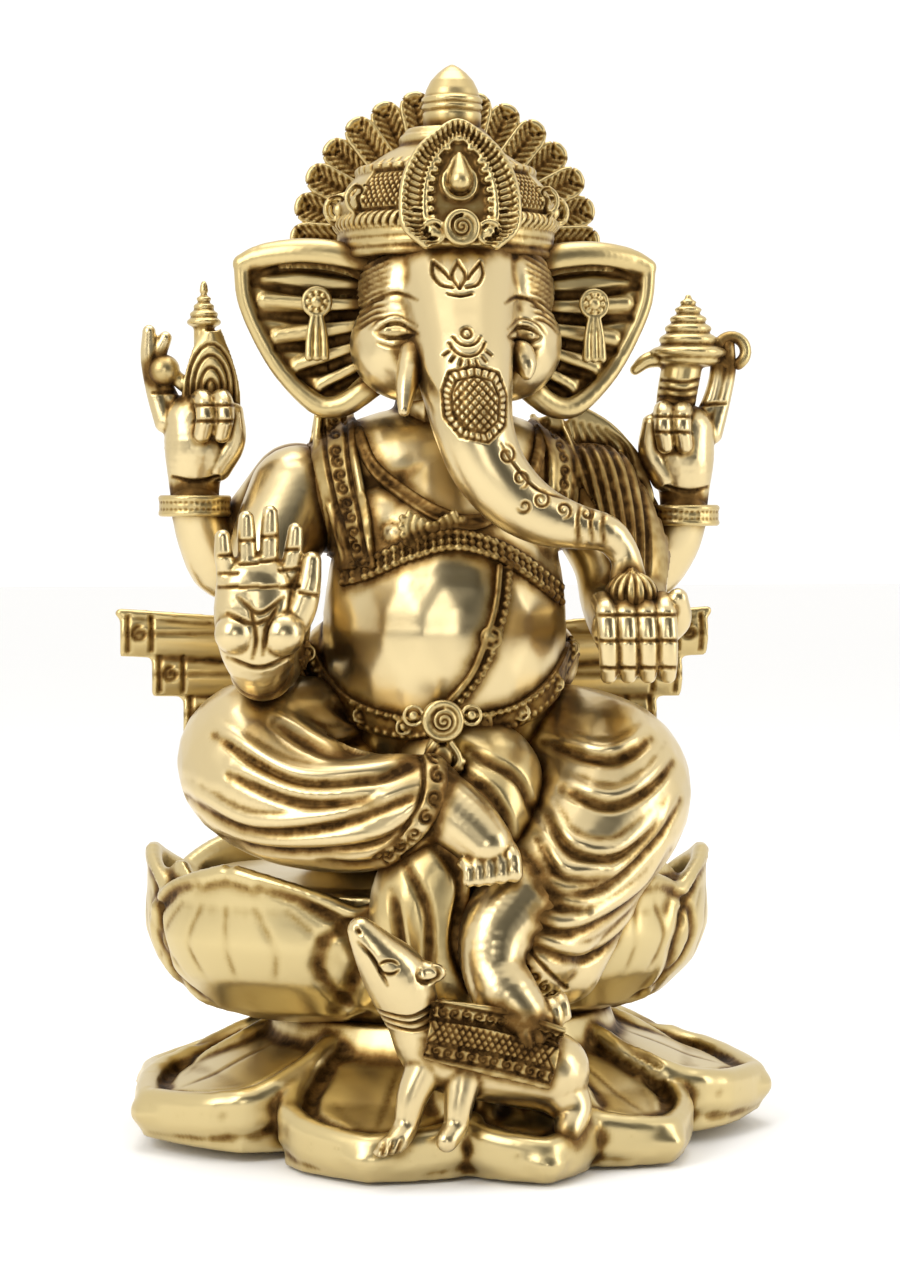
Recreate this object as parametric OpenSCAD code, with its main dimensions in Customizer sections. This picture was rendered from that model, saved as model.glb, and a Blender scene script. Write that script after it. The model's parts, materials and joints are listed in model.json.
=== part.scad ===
// Seated elephant-headed deity on a double lotus, an assembly of brass castings.
// +X is the statue's own left, -Y is the way it faces, +Z is up.

/* [Pedestal] */
// Reach of the spread petals from the axis
spread_reach = 102; // [92:1:118]
// Height of the waist between the two lotus tiers
waist_z = 38; // [36:1:46]
// Radius of the waist
waist_r = 52; // [48:1:56]
// Thickness of a spread petal's rim
rim_w = 6; // [4:0.5:8]
// Half the seat's width, across its upright petals
seat_half_w = 90; // [82:1:98]
// Half the seat's depth, from front to back
seat_half_d = 66; // [62:1:78]
// How far the seat stands to the statue's right of the axis
seat_shift = 5; // [0:0.5:6]
// Height of the seat's deck above the waist
seat_h = 42; // [40:1:50]
// Wall of the pedestal castings
pedestal_wall = 4; // [3:0.5:6]
// Radius of the well under the foot
foot_well_r = 72; // [66:1:76]

/* [Figure] */
// Radius of the belly
belly_r = 38; // [34:1:41]
// Height from the hips to the neck
torso_h = 99; // [95:1:112]
// Distance between the shoulders
shoulder_w = 98; // [90:1:108]
// Radius of a thigh in its dhoti
thigh_r = 24; // [22:0.5:26]
// Radius of an upper arm
arm_r = 13; // [11:0.5:15]
// Radius of the head across the brow
head_r = 27; // [25:0.5:30]
// Radius of the trunk at its root
trunk_r = 15; // [12:0.5:16]
// Span of the ears from tip to tip
ear_span = 132; // [126:1:142]
// Wall of the hollow figure castings
body_wall = 4; // [3:0.5:5]

/* [Crown] */
// Radius of the crown's rim
crown_r = 35; // [34:0.5:38]
// Height of the crown above its rim
crown_h = 41; // [37:1:46]
// Height of the finial
finial_h = 20; // [15:1:25]
// Reach of the halo from its centre
halo_r = 50; // [46:1:58]
// Thickness of the halo
halo_t = 5; // [4:0.5:7]
// Number of feathers round the halo
feather_count = 17; // [11:2:21]

/* [Joints between castings] */
// Clearance of a spigot in its socket, on the radius
spigot_gap = 0.15; // [0.1:0.05:0.4]
// Depth of a spigot in its socket
spigot_h = 6; // [4:0.5:8]
// Radius of the seat's spigot in the waist
seat_spigot_r = 36; // [30:1:40]
// Radius of the figure's spigot in the deck
hip_spigot_r = 14; // [10:0.5:18]
// Radius of the finial's peg in the crown
finial_peg_r = 4; // [3:0.5:6]

/* [Trim] */
// Radius of the round trim, such as beads and cords
cord_r = 1.8; // [1.2:0.1:2.5]
// Radius of a bangle's ring
bangle_r = 11.5; // [10.5:0.5:13]
// Thickness of a draped cloth end
cloth_t = 6; // [4:0.5:8]

/* [Hidden] */

brass = [0.78, 0.66, 0.38];
polished = [0.88, 0.79, 0.52];
aged = [0.62, 0.49, 0.25];

// Fineness of the round stretches: bodies, fingers, cords and the petals' skirt, and steps of a leaf
body_fn = 14;
limb_fn = 10;
finger_fn = 8;
cord_fn = 6;
skirt_fn = 40;
leaf_steps = 8;
eps = 0.01;

// The lotus
seat_x = -seat_shift;
deck_z = waist_z + seat_h;
tip_z = deck_z + 7;
front_petals = 4;
back_petals = 4;
first_petal = -68;
front_step = 48;
back_step = (360 - (front_petals - 1) * front_step) / (back_petals + 1);
petal_lifts = [4, 0, 0, 6, 0, 0, 0, 0];
petal_angles = [
  for (i = [0:front_petals - 1]) first_petal + i * front_step,
  for (i = [1:back_petals]) first_petal + (front_petals - 1) * front_step + i * back_step
];
upright_count = 8;
upright_half_w = 34;
upright_angles = [for (i = [0:upright_count - 1]) -42 + i * 360 / upright_count];

// The figure's anchors, from the seat upwards
hip_z = deck_z + 36;
pelvis = [-1, -8, hip_z];
belly = [-1, -20, hip_z + belly_r + 2];
neck = [1, -12, hip_z + torso_h + 2];
chest = [0, -8, neck.z - 24];
shoulder_x = shoulder_w / 2;
shoulder_z = neck.z - 14;
right_shoulder = [-shoulder_x, -4, shoulder_z];
left_shoulder = [shoulder_x + 1, -4, shoulder_z];
head_c = [2, -20, neck.z + 34];
crown_c = [0, -14, head_c.z + 22];
halo_c = [4, 19, crown_c.z + 4];

// Limbs, as centre and radius along each chain
right_leg_path = [
  [pelvis + [-24, 2, -2], thigh_r], [pelvis + [-42, -10, 1], thigh_r],
  [pelvis + [-59, -24, 1], thigh_r], [pelvis + [-48, -38, -8], thigh_r - 3],
  [pelvis + [-30, -50, -12], thigh_r - 6], [pelvis + [-15, -58, -8], thigh_r - 10]
];
left_leg_path = [
  [pelvis + [26, 2, -3], thigh_r], [pelvis + [42, -16, -4], thigh_r],
  [pelvis + [48, -32, -9], thigh_r], [pelvis + [36, -44, -26], thigh_r - 2],
  [pelvis + [22, -56, -40], thigh_r - 6], [pelvis + [30, -50, -54], thigh_r - 9]
];
right_foot_path = [
  [pelvis + [-14, -59, -8], 9.5], [pelvis + [-8, -61, -9], 10], [pelvis + [0, -66, -15], 9],
  [pelvis + [6, -70, -21], 7.5], [pelvis + [9, -73, -26], 4.5]
];
left_foot_path = [
  [pelvis + [20, -62, -40], 13], [pelvis + [8, -69, -47], 11], [pelvis + [7, -73, -56], 9.5],
  [pelvis + [12, -78, -66], 9], [pelvis + [16, -82, -73], 6.5], [pelvis + [18, -84, -77], 4]
];
right_elbow = right_shoulder + [-17, 9, -28];
left_elbow = left_shoulder + [16, 9, -29];
right_wrist = right_elbow + [-11, -5, 19];
left_wrist = left_elbow + [12, -5, 17];
blessing_wrist = right_shoulder + [-11, -52, -56];
blessing_c = blessing_wrist + [-1, -6, 17];
offering_c = left_shoulder + [-2, -62, -48];

// The trunk, from its root to the tip at the sweet
trunk_path = [
  [head_c + [-1, -25, 3], trunk_r + 1], [head_c + [-1, -36, -12], trunk_r],
  [head_c + [-1, -43, -27], trunk_r - 2.5], [head_c + [2, -46, -40], trunk_r - 3.5],
  [head_c + [8, -47, -52], trunk_r - 4.5], [head_c + [17, -47, -60], trunk_r - 6],
  [head_c + [29, -47, -63], trunk_r - 8], [head_c + [39, -47, -66], trunk_r - 9.5],
  [head_c + [45, -46, -72], trunk_r - 10.5], [head_c + [49, -45, -81], trunk_r - 11.5]
];

// The mouse
mouse_c = [2, -86, waist_z - 4];
mouse_path = [
  [mouse_c + [20, 4, -4], 13], [mouse_c + [4, 2, 0], 13], [mouse_c + [-12, -1, 4], 12],
  [mouse_c + [-20, -3, 14], 9], [mouse_c + [-25, -5, 25], 10], [mouse_c + [-32, -8, 34], 6.5],
  [mouse_c + [-37, -9, 41], 3.5]
];

// A round ball of a chain
module ball(p, fn = body_fn) {
  translate(p[0]) sphere(r = p[1], $fn = fn);
}

// A rounded limb through a list of centres and radii
module chain(path, fn = body_fn) {
  for (i = [0:len(path) - 2])
    hull() {
      ball(path[i], fn);
      ball(path[i + 1], fn);
    }
}

// The hollow inside a chain
module chain_core(path, wall, fn = limb_fn) {
  chain([for (p = path) [p[0], p[1] - wall]], fn);
}

// A petal's outline from its root to its tip, along +Y
function leaf(reach, half, root) = [
  for (i = [0:leaf_steps])
    let (t = i / leaf_steps) [half * leaf_width(t), root + (reach - root) * t],
  for (i = [leaf_steps - 1:-1:0])
    let (t = i / leaf_steps) [-half * leaf_width(t), root + (reach - root) * t]
];
function leaf_width(t) = pow(sin(min(180 * pow(t, 0.9), 180)), 0.6) * (1 - 0.25 * t) + 0.3 * (1 - t);

// Points of an ellipse's arc about its centre
function arc(c, rx, rz, from, to, n = 12) = [
  for (i = [0:n]) let (a = from + (to - from) * i / n) c + [rx * cos(a), rz * sin(a)]
];

/* The pedestal */

// The spread petals' skirt, as a half section
module skirt_section(rise) {
  polygon(concat(
    [[0, 0], [spread_reach - 4, 0]],
    arc([spread_reach - 4, 5], 4, 5, -90, 40, 4),
    [[spread_reach - 12, 15 + rise], [spread_reach * 0.72, 19 + rise], [waist_r + 6, waist_z - 7 + rise],
     [waist_r, waist_z + rise], [0, waist_z + rise]]
  ));
}

// A petal's outline as a prism
module leaf_prism() {
  linear_extrude(waist_z) polygon(leaf(spread_reach + 4, 40, 20));
}

// The dished middle inside a petal's rim
module petal_dish() {
  translate([0, 0, 13]) hull() linear_extrude(waist_z) intersection() {
    polygon(leaf(spread_reach - rim_w - 2.4, 25.7, 30));
    translate([-60, waist_r + 8]) square([120, 60]);
  }
}

module lower_lotus() {
  level = [for (i = [0:len(petal_angles) - 1]) if (petal_lifts[i] == 0) 180 + petal_angles[i]];
  color(brass) difference() {
    union() {
      rotate_extrude($fn = skirt_fn) polygon([
        [0, 0], [waist_r + 18, 0], [waist_r + 16, 12], [waist_r + 2, waist_z - 4],
        [waist_r, waist_z], [0, waist_z]
      ]);
      // the level petals share one skirt, and the lifted ones have their own
      difference() {
        intersection() {
          rotate_extrude($fn = skirt_fn) skirt_section(0);
          linear_extrude(waist_z) union()
            for (a = level) rotate(a) polygon(leaf(spread_reach + 4, 40, 20));
        }
        for (a = level) rotate(a) petal_dish();
      }
      for (i = [0:len(petal_angles) - 1])
        if (petal_lifts[i] > 0)
          rotate([0, 0, 180 + petal_angles[i]]) rotate([petal_lifts[i], 0, 0]) difference() {
            intersection() {
              rotate_extrude($fn = skirt_fn) skirt_section(0);
              leaf_prism();
            }
            petal_dish();
          }
    }
    // open underneath, with the socket of the seat's spigot
    translate([0, 0, -eps]) rotate_extrude($fn = skirt_fn) polygon([
      [0, 0], [foot_well_r, 0], [foot_well_r - 4, 5], [waist_r - 2, 18], [seat_spigot_r + 8, waist_z - 8],
      [0, waist_z - 8]
    ]);
    translate([seat_x, 0, waist_z - 9]) cylinder(r = seat_spigot_r + spigot_gap, h = 10, $fn = skirt_fn);
    for (z = [-20, waist_z + 20])
      translate([0, 0, z]) cube([3 * spread_reach, 3 * spread_reach, 40], center = true);
  }
}

// The seat's bowl, as a half section drawn in or out by an offset
function bowl_line(grow) = [
  [seat_half_d - 22 + grow, waist_z], [seat_half_d - 11 + grow, waist_z + 5],
  [seat_half_d - 3 + grow, waist_z + 15], [seat_half_d + grow, waist_z + 26],
  [seat_half_d + grow, waist_z + 34], [seat_half_d - 2 + grow, deck_z]
];

// The bowl is an oblong: one round section swept between two centres
module bowl(line) {
  spread = seat_half_w - seat_half_d;
  hull()
    for (x = [-spread, spread])
      translate([seat_x + x, 0, 0]) rotate_extrude($fn = 36)
        polygon(concat([[0, line[0].y]], line, [[0, line[len(line) - 1].y]]));
}

// The upright petals, as leaves that face outwards
module upright_leaves() {
  for (a = upright_angles)
    translate([seat_x, 0, 0]) rotate([0, 0, a]) rotate([90, 0, 0]) linear_extrude(seat_half_w + 12)
      translate([0, waist_z - 2]) polygon(leaf(tip_z - waist_z + 2, upright_half_w, 0));
}

module upper_lotus() {
  color(brass) difference() {
    union() {
      bowl(bowl_line(-2.5));
      intersection() {
        bowl(concat(bowl_line(0), [[seat_half_d + 1, tip_z]]));
        upright_leaves();
      }
      translate([seat_x, 0, waist_z - spigot_h]) cylinder(r = seat_spigot_r, h = spigot_h + 1, $fn = 96);
    }
    // the well inside the petals' tips
    bowl([[seat_half_d - 6, deck_z], [seat_half_d - 4, tip_z + 1]]);
    // hollow, open through the spigot below
    translate([seat_x, 0, waist_z - spigot_h - eps])
      cylinder(r = seat_spigot_r - pedestal_wall, h = spigot_h + 8, $fn = 64);
    bowl([
      [seat_half_d - 20 - pedestal_wall, waist_z + pedestal_wall],
      [seat_half_d - 6 - pedestal_wall, waist_z + 16], [seat_half_d - 3 - pedestal_wall, waist_z + 27],
      [seat_half_d - 5 - pedestal_wall, deck_z - pedestal_wall]
    ]);
    // the socket of the figure's spigot
    translate([pelvis.x, pelvis.y, deck_z - pedestal_wall - 1])
      cylinder(r = hip_spigot_r + spigot_gap, h = pedestal_wall + 2, $fn = 64);
  }
}

/* The figure */

// The bare body, or a skin that lies over it
module torso_solid(grow = 0) {
  chain([[pelvis + [0, 0, -6], 28 + grow], [belly, belly_r + grow]]);
  chain([[belly, belly_r + grow], [chest, 29 + grow]]);
  chain([[chest + [-18, 2, 6], 22 + grow], [chest + [18, 2, 6], 22 + grow]]);
  chain([[right_shoulder + [14, 0, -2], 16 + grow], [neck + [0, 2, 0], 17 + grow]]);
  chain([[left_shoulder + [-14, 0, -2], 16 + grow], [neck + [0, 2, 0], 17 + grow]]);
  chain([[neck + [0, 2, 0], 17 + grow], [neck + [0, 0, 12], 16 + grow]]);
  chain([[chest + [-14, -14, -3], 14 + grow], [chest + [14, -14, -3], 14 + grow]]);
  chain([[pelvis + [-18, 10, -14], 26 + grow], [pelvis + [18, 10, -14], 26 + grow]]);
}

module torso_core() {
  chain([[pelvis + [0, 0, -8], 28 - body_wall], [belly, belly_r - body_wall]], finger_fn);
  chain([[belly, belly_r - body_wall], [chest, 29 - body_wall]], finger_fn);
  chain([[chest, 22 - body_wall], [neck + [0, 1, 16], 15 - body_wall]], finger_fn);
  chain([[chest + [-18, 2, 6], 21 - body_wall], [chest + [18, 2, 6], 21 - body_wall]], finger_fn);
  chain([[pelvis + [-18, 10, -14], 25 - body_wall], [pelvis + [18, 10, -14], 25 - body_wall]], finger_fn);
  translate([pelvis.x, pelvis.y, deck_z - spigot_h])
    cylinder(r = hip_spigot_r - body_wall, h = 20, $fn = 32);
}

module torso_spigot() {
  translate([pelvis.x, pelvis.y, deck_z - spigot_h + 1])
    cylinder(r = hip_spigot_r, h = spigot_h + 6, $fn = 48);
}

module torso() {
  color(polished) difference() {
    union() {
      difference() {
        torso_solid();
        translate([-200, -200, deck_z - 100]) cube([400, 400, 100]);
      }
      torso_spigot();
    }
    torso_core();
  }
}

// The seat's mass, which the limbs and the dress are cut back to
module seat_block() {
  bowl(concat(bowl_line(0), [[seat_half_d - 2, deck_z]]));
  difference() {
    intersection() {
      bowl(concat(bowl_line(0), [[seat_half_d + 1, tip_z]]));
      upright_leaves();
    }
    bowl([[seat_half_d - 6, deck_z], [seat_half_d - 4, tip_z + 1]]);
  }
}

module right_leg() {
  color(polished) difference() {
    chain(right_leg_path);
    chain_core([for (i = [0:4]) right_leg_path[i]], body_wall + 1);
    chain_core([[pelvis + [0, 4, 0], 16], right_leg_path[0]], body_wall + 1);
    torso_solid();
    seat_block();
  }
}

module left_leg() {
  color(polished) difference() {
    chain(left_leg_path);
    chain_core([for (i = [0:4]) left_leg_path[i]], body_wall + 1);
    chain_core([[pelvis + [0, 4, 0], 16], left_leg_path[0]], body_wall + 1);
    torso_solid();
    chain(right_leg_path);
    seat_block();
  }
}

// The toes, from the inner side outwards
module toes(tip, across, r) {
  for (i = [0:4])
    hull() {
      translate(tip + across * i) sphere(r = r - 0.25 * i, $fn = 10);
      translate(tip + across * (i * 0.9) + [0, 6, 7]) sphere(r = r, $fn = 10);
    }
}

module right_foot_solid() {
  chain(right_foot_path, limb_fn);
  toes(pelvis + [12, -77, -24], [-4, 0.5, -1], 2.8);
}

module right_foot() {
  color(polished) difference() {
    right_foot_solid();
    chain(right_leg_path);
    chain(left_leg_path);
  }
}

module left_foot_solid() {
  chain(left_foot_path, limb_fn);
  toes(pelvis + [14, -87, -74], [3, 1.5, 1.5], 2.9);
}

module left_foot() {
  color(polished) difference() {
    left_foot_solid();
    chain(left_leg_path);
    right_foot_solid();
    seat_block();
  }
}

module lap_cloth_solid() {
  chain([
    [pelvis + [0, -30, 0], 18], [pelvis + [10, -42, -4], 16], [pelvis + [4, -52, -16], 16],
    [pelvis + [-6, -56, -28], 16], [pelvis + [-12, -58, -42], 16], [pelvis + [-6, -58, -60], 16]
  ]);
}

module lap_cloth() {
  color(aged) difference() {
    lap_cloth_solid();
    torso_solid();
    chain(right_leg_path);
    chain(left_leg_path);
    right_foot_solid();
    left_foot_solid();
    seat_block();
  }
}

/* Dress and ornaments */

right_stole_path = [
  [neck + [-26, 0, -6], 11], [right_shoulder + [6, -2, 2], 13], [right_shoulder + [8, -16, -12], 12],
  [right_shoulder + [14, -26, -28], 10], [right_shoulder + [16, -30, -38], 8]
];
left_stole_path = [
  [neck + [28, 0, -6], 11], [left_shoulder + [-3, -2, 0], 15], [left_shoulder + [0, -6, -20], 14],
  [left_shoulder + [-2, -14, -38], 12], [left_shoulder + [-10, -22, -34], 10]
];

module right_stole() {
  color(brass) difference() {
    chain(right_stole_path, limb_fn);
    chain(front_right_path, limb_fn);
    torso_solid();
    head_block();
    rear_right_arm_solid();
  }
}

module left_stole() {
  color(brass) difference() {
    chain(left_stole_path, limb_fn);
    torso_solid();
    head_block();
    rear_left_arm_solid();
    chain(front_left_path, limb_fn);
  }
}

// A flared end of the stole, hanging behind an elbow: mirrored for the other side
module stole_end(top, bottom, inner_top, inner_bottom) {
  rotate([90, 0, 0]) translate([0, 0, -20 - cloth_t]) linear_extrude(cloth_t)
    polygon([top, inner_top, inner_bottom, bottom]);
  for (f = [0.1, 0.5, 0.9])
    let (a = top * (1 - f) + bottom * f, b = inner_top * (1 - f) + inner_bottom * f)
      hull() {
        translate([a.x, 20, a.y]) sphere(r = cloth_t * 0.8, $fn = 12);
        translate([b.x, 18, b.y]) sphere(r = cloth_t * 0.5, $fn = 12);
      }
}

module right_stole_end() {
  color(brass) difference() {
    stole_end([-99, hip_z + 38], [-84, hip_z - 9], [-44, hip_z + 46], [-40, hip_z - 10]);
    chain(right_leg_path);
    torso_solid();
    rear_right_arm_solid();
    chain(front_right_path, limb_fn);
    seat_block();
  }
}

module left_stole_end() {
  color(brass) difference() {
    stole_end([87, hip_z + 36], [84, hip_z - 10], [44, hip_z + 46], [40, hip_z - 12]);
    chain(left_leg_path);
    torso_solid();
    rear_left_arm_solid();
    chain(front_left_path, limb_fn);
    seat_block();
  }
}

// A band that lies on the body, along a line drawn from the front, as [x, z] from a centre
module body_band(centre, line, half, thick) {
  difference() {
    intersection() {
      torso_solid(thick);
      translate([0, centre.y, 0]) rotate([90, 0, 0]) linear_extrude(120)
        for (i = [0:len(line) - 2])
          hull() {
            translate([centre.x, centre.z] + line[i]) circle(r = half, $fn = 10);
            translate([centre.x, centre.z] + line[i + 1]) circle(r = half, $fn = 10);
          }
    }
    torso_solid();
  }
}

belt_line = [
  [-44, 33], [-37, 21], [-28, 15], [-16, 12], [-5, 13], [8, 13], [20, 16], [32, 24], [40, 33]
];
thread_line = [[12.6, 15.5], [12, 10], [9, -1], [5, -12], [-1, -21]];
chest_line = [[-31, 18], [-26, 19], [-14, 25], [0, 28], [16, 23], [33, 12]];
necklace_line = [[-30, 0], [-26, -10], [-18, -18], [-8, -26], [3, -28], [14, -23], [23, -14], [28, -2]];

module belt_solid() {
  body_band(pelvis, belt_line, cord_r + 1.7, 3.5);
}

module belt() {
  color(brass) difference() {
    belt_solid();
    chain(right_leg_path);
    chain(left_leg_path);
    lap_cloth_solid();
    buckle_solid();
  }
}

module buckle_solid() {
  translate(pelvis + [-5, -53, 14]) rotate([60, 0, 0]) cylinder(r = 6.5, h = 8, center = true, $fn = 32);
  translate(pelvis + [-5, -55, 5]) rotate([70, 0, 0]) cylinder(r = 4.5, h = 10, center = true, $fn = 24);
}

module belt_buckle() {
  color(polished) difference() {
    buckle_solid();
    torso_solid();
    chain(right_leg_path);
    lap_cloth_solid();
  }
}

module sacred_thread_solid() {
  body_band(belly, thread_line, cord_r + 1.2, 2.6);
}

module sacred_thread() {
  color(brass) difference() {
    sacred_thread_solid();
    buckle_solid();
    belt_solid();
  }
}

module chest_band_solid() {
  body_band(belly, chest_line, cord_r + 1.5, 3);
}

module chest_band() {
  color(brass) difference() {
    chest_band_solid();
    chain(right_stole_path, limb_fn);
    chain(left_stole_path, limb_fn);
  }
}

module necklace() {
  color(brass) difference() {
    body_band(neck, necklace_line, cord_r + 1.2, 3);
    chain(right_stole_path, limb_fn);
    chain(left_stole_path, limb_fn);
    chain(trunk_path, limb_fn);
    head_solid();
    chest_band_solid();
  }
}

/* Arms and hands */

module rear_right_arm_solid() {
  chain([
    [right_shoulder + [0, 6, -4], arm_r], [right_elbow, arm_r - 1], [right_wrist + [0, 0, -2], 8],
    [right_wrist, 8]
  ], limb_fn);
}

module rear_left_arm_solid() {
  chain([
    [left_shoulder + [0, 6, -4], arm_r], [left_elbow, arm_r - 1], [left_wrist + [0, 0, -2], 8],
    [left_wrist, 8]
  ], limb_fn);
}

module rear_right_arm() {
  color(polished) difference() {
    rear_right_arm_solid();
    torso_solid();
    bangle_block(right_wrist);
    translate(right_wrist + [-20, -20, 0]) cube([40, 40, 20]);
  }
}

module rear_left_arm() {
  color(polished) difference() {
    rear_left_arm_solid();
    torso_solid();
    bangle_block(left_wrist);
    translate(left_wrist + [-20, -20, 0]) cube([40, 40, 20]);
  }
}

// A pair of rings round a wrist
module bangle_block(c) {
  translate(c + [0, 0, -3.5]) cylinder(r = bangle_r, h = 7, $fn = 32);
}

module bangle(c) {
  color(brass) translate(c) rotate_extrude($fn = 48) union() {
    translate([0, -3.5]) square([bangle_r - 1.5, 7]);
    for (z = [-2, 2]) translate([bangle_r - 1.5, z]) circle(r = 1.5, $fn = 24);
  }
}

module rear_right_bangle() bangle(right_wrist);
module rear_left_bangle() bangle(left_wrist);

// A raised rear hand: a palm, curled fingers and two upright ones; side is 1 for the left hand
module rear_hand_solid(wrist, side) {
  chain([
    [wrist + [0, 0, 9], 8.5], [wrist + [-2 * side, -1, 18], 11], [wrist + [0, -1, 27], 9]
  ], limb_fn);
  for (i = [0:1])
    chain([
      [wrist + [(6 + 3 * i) * side, 0, 26], 3.6], [wrist + [(10 + 2 * i) * side, 1, 40 + 3 * i], 3.2],
      [wrist + [(10 + 4 * i) * side, -1, 50 + 3 * i], 2.6]
    ], finger_fn);
  for (i = [0:1])
    chain([
      [wrist + [(-4 + 5 * i) * side, 0, 30], 3.6], [wrist + [(-6 + 4 * i) * side, -9, 33], 3.4],
      [wrist + [(-8 + 3 * i) * side, -10, 25], 3]
    ], finger_fn);
  chain([[wrist + [-7 * side, -4, 16], 4], [wrist + [-11 * side, -6, 28], 3.2]], finger_fn);
}

module rear_right_hand() {
  color(polished) difference() {
    rear_hand_solid(right_wrist, -1);
    bangle_block(right_wrist);
  }
}

module rear_left_hand() {
  color(polished) difference() {
    rear_hand_solid(left_wrist, 1);
    bangle_block(left_wrist);
  }
}

// The goad in the rear right hand: an arched blade with a ribbed point and a ball
module goad() {
  color(brass) difference() {
    union() {
      translate(right_wrist + [0, 3, 45]) rotate([90, 0, 0]) linear_extrude(6, center = true)
        polygon(concat(arc([-1, 6], 11, 14, 0, 180, 16), [[-10, -22], [6, -22]]));
      translate(right_wrist + [0, 0, 60]) cylinder(r1 = 6, r2 = 1, h = 10, $fn = 24);
      translate(right_wrist + [-10, 0, 46]) sphere(r = 5, $fn = 24);
      chain([for (i = [0:8]) [right_wrist + [3, 2, 16 + 5 * i], 4]], cord_fn);
    }
    rear_hand_solid(right_wrist, -1);
    bangle_block(right_wrist);
  }
}

// The noose in the rear left hand: a ribbed shaft with a stacked cone, a curl and a beak
module noose() {
  color(brass) difference() {
    union() {
      translate(left_wrist + [-2, 0, 0])
        rotate_extrude($fn = 32) polygon([
          [0, 14], [5, 14], [6, 40], [8, 46], [12, 48], [12, 52], [9, 53], [9, 56], [6.5, 57],
          [6.5, 60], [4, 61], [3.5, 65], [2, 70], [0, 71]
        ]);
      chain([for (i = [2:9]) [left_wrist + [6 + 5 * sin(i * 30), 0, 49 - 5 * cos(i * 30)], 2.2]], cord_fn);
      hull() {
        translate(left_wrist + [-6, 0, 47]) sphere(r = 4, $fn = 12);
        translate(left_wrist + [-15, 0, 44]) sphere(r = 1.5, $fn = 12);
      }
    }
    rear_hand_solid(left_wrist, 1);
    bangle_block(left_wrist);
  }
}

front_right_path = [
  [right_shoulder + [0, -2, -8], arm_r + 2], [right_shoulder + [-4, -12, -34], arm_r],
  [blessing_wrist + [4, 20, 0], 11], [blessing_wrist + [0, 4, 0], 10]
];
front_left_path = [
  [left_shoulder + [0, -4, -8], arm_r + 2], [left_shoulder + [4, -12, -36], arm_r],
  [offering_c + [8, 26, 0], 11], [offering_c + [2, 8, 2], 10]
];

module front_right_arm() {
  color(polished) difference() {
    chain(front_right_path, limb_fn);
    torso_solid();
    rear_right_arm_solid();
    blessing_hand_solid();
    chain(right_leg_path);
  }
}

module front_left_arm() {
  color(polished) difference() {
    chain(front_left_path, limb_fn);
    torso_solid();
    rear_left_arm_solid();
    offering_hand_solid();
    chain(left_leg_path);
  }
}

// The open hand of blessing, palm forwards, fingers up, thumb to the statue's middle
module blessing_hand_solid() {
  chain([[blessing_wrist, 9.5], [blessing_c + [0, 0, -6], 12.5], [blessing_c + [0, 0, 4], 12]], limb_fn);
  for (i = [0:3])
    chain([
      [blessing_c + [-8.5 + 5.6 * i, -3, 8], 3.3],
      [blessing_c + [-8 + 5.4 * i, -3, 22 + 2 * sin(60 * i)], 3],
      [blessing_c + [-8 + 5.2 * i, -3, 25 + 3 * sin(60 * i)], 2.6]
    ], finger_fn);
  chain([[blessing_c + [9, -4, -4], 5], [blessing_c + [15, -5, 6], 4], [blessing_c + [16, -5, 14], 3]], finger_fn);
}

module front_right_hand() {
  color(polished) difference() {
    blessing_hand_solid();
    chain(right_leg_path);
  }
}

// The hand that holds the sweet: fingers folded down over it
module offering_hand_solid() {
  chain([[offering_c + [4, 6, 2], 10], [offering_c + [0, -2, 2], 12]], limb_fn);
  for (i = [0:3])
    chain([
      [offering_c + [-8 + 5.6 * i, -8, 10], 3.6], [offering_c + [-7.5 + 5.4 * i, -12, 2], 3.3],
      [offering_c + [-7 + 5.2 * i, -11, -9], 2.8]
    ], finger_fn);
  chain([[offering_c + [13, -2, 2], 4.2], [offering_c + [15, -7, 10], 3.4]], finger_fn);
}

module front_left_hand() {
  color(polished) difference() {
    offering_hand_solid();
    chain(left_leg_path);
  }
}

module modak() {
  color(brass) difference() {
    translate(offering_c + [0, -5, 6]) rotate_extrude($fn = 32) polygon([
      [0, -2], [6, -2], [8.5, 4], [8, 8], [5, 12], [2, 15], [0, 16]
    ]);
    offering_hand_solid();
    chain(trunk_path, limb_fn);
  }
}

/* The head */

module head_solid() {
  chain([[head_c + [-4, 0, 6], head_r], [head_c + [4, 0, 6], head_r]]);
  chain([[head_c + [-12, -4, -6], head_r - 6], [head_c + [10, -4, -6], head_r - 6]]);
  chain([[head_c + [0, -6, 12], head_r - 4], trunk_path[0]]);
  chain(trunk_path, limb_fn);
}

// The head's mass, for what stops against it
module head_block() {
  hull() {
    translate(head_c + [-4, 0, 6]) sphere(r = head_r, $fn = body_fn);
    translate(head_c + [4, 0, 6]) sphere(r = head_r, $fn = body_fn);
  }
  hull() {
    translate(head_c + [-12, -4, -6]) sphere(r = head_r - 6, $fn = body_fn);
    translate(head_c + [10, -4, -6]) sphere(r = head_r - 6, $fn = body_fn);
  }
}

module head() {
  color(polished) difference() {
    head_solid();
    chain([[neck + [0, 0, 4], 14 - body_wall], [head_c + [0, 0, 5], head_r - body_wall]], limb_fn);
    torso_solid();
    crown_block();
  }
}

module tusk_solid(side) {
  chain([
    [head_c + [18 * side, -30, -14], 4.5], [head_c + [20 * side, -36, -22], 3.5],
    [head_c + [21 * side, -40, -30], 2]
  ], 12);
}

module right_tusk() {
  color(polished) difference() {
    tusk_solid(-1);
    head_solid();
    torso_solid();
  }
}

module left_tusk() {
  color(polished) difference() {
    chain([[head_c + [18, -30, -14], 4.5], [head_c + [19, -34, -19], 4]], 12);
    head_solid();
    torso_solid();
  }
}

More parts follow.
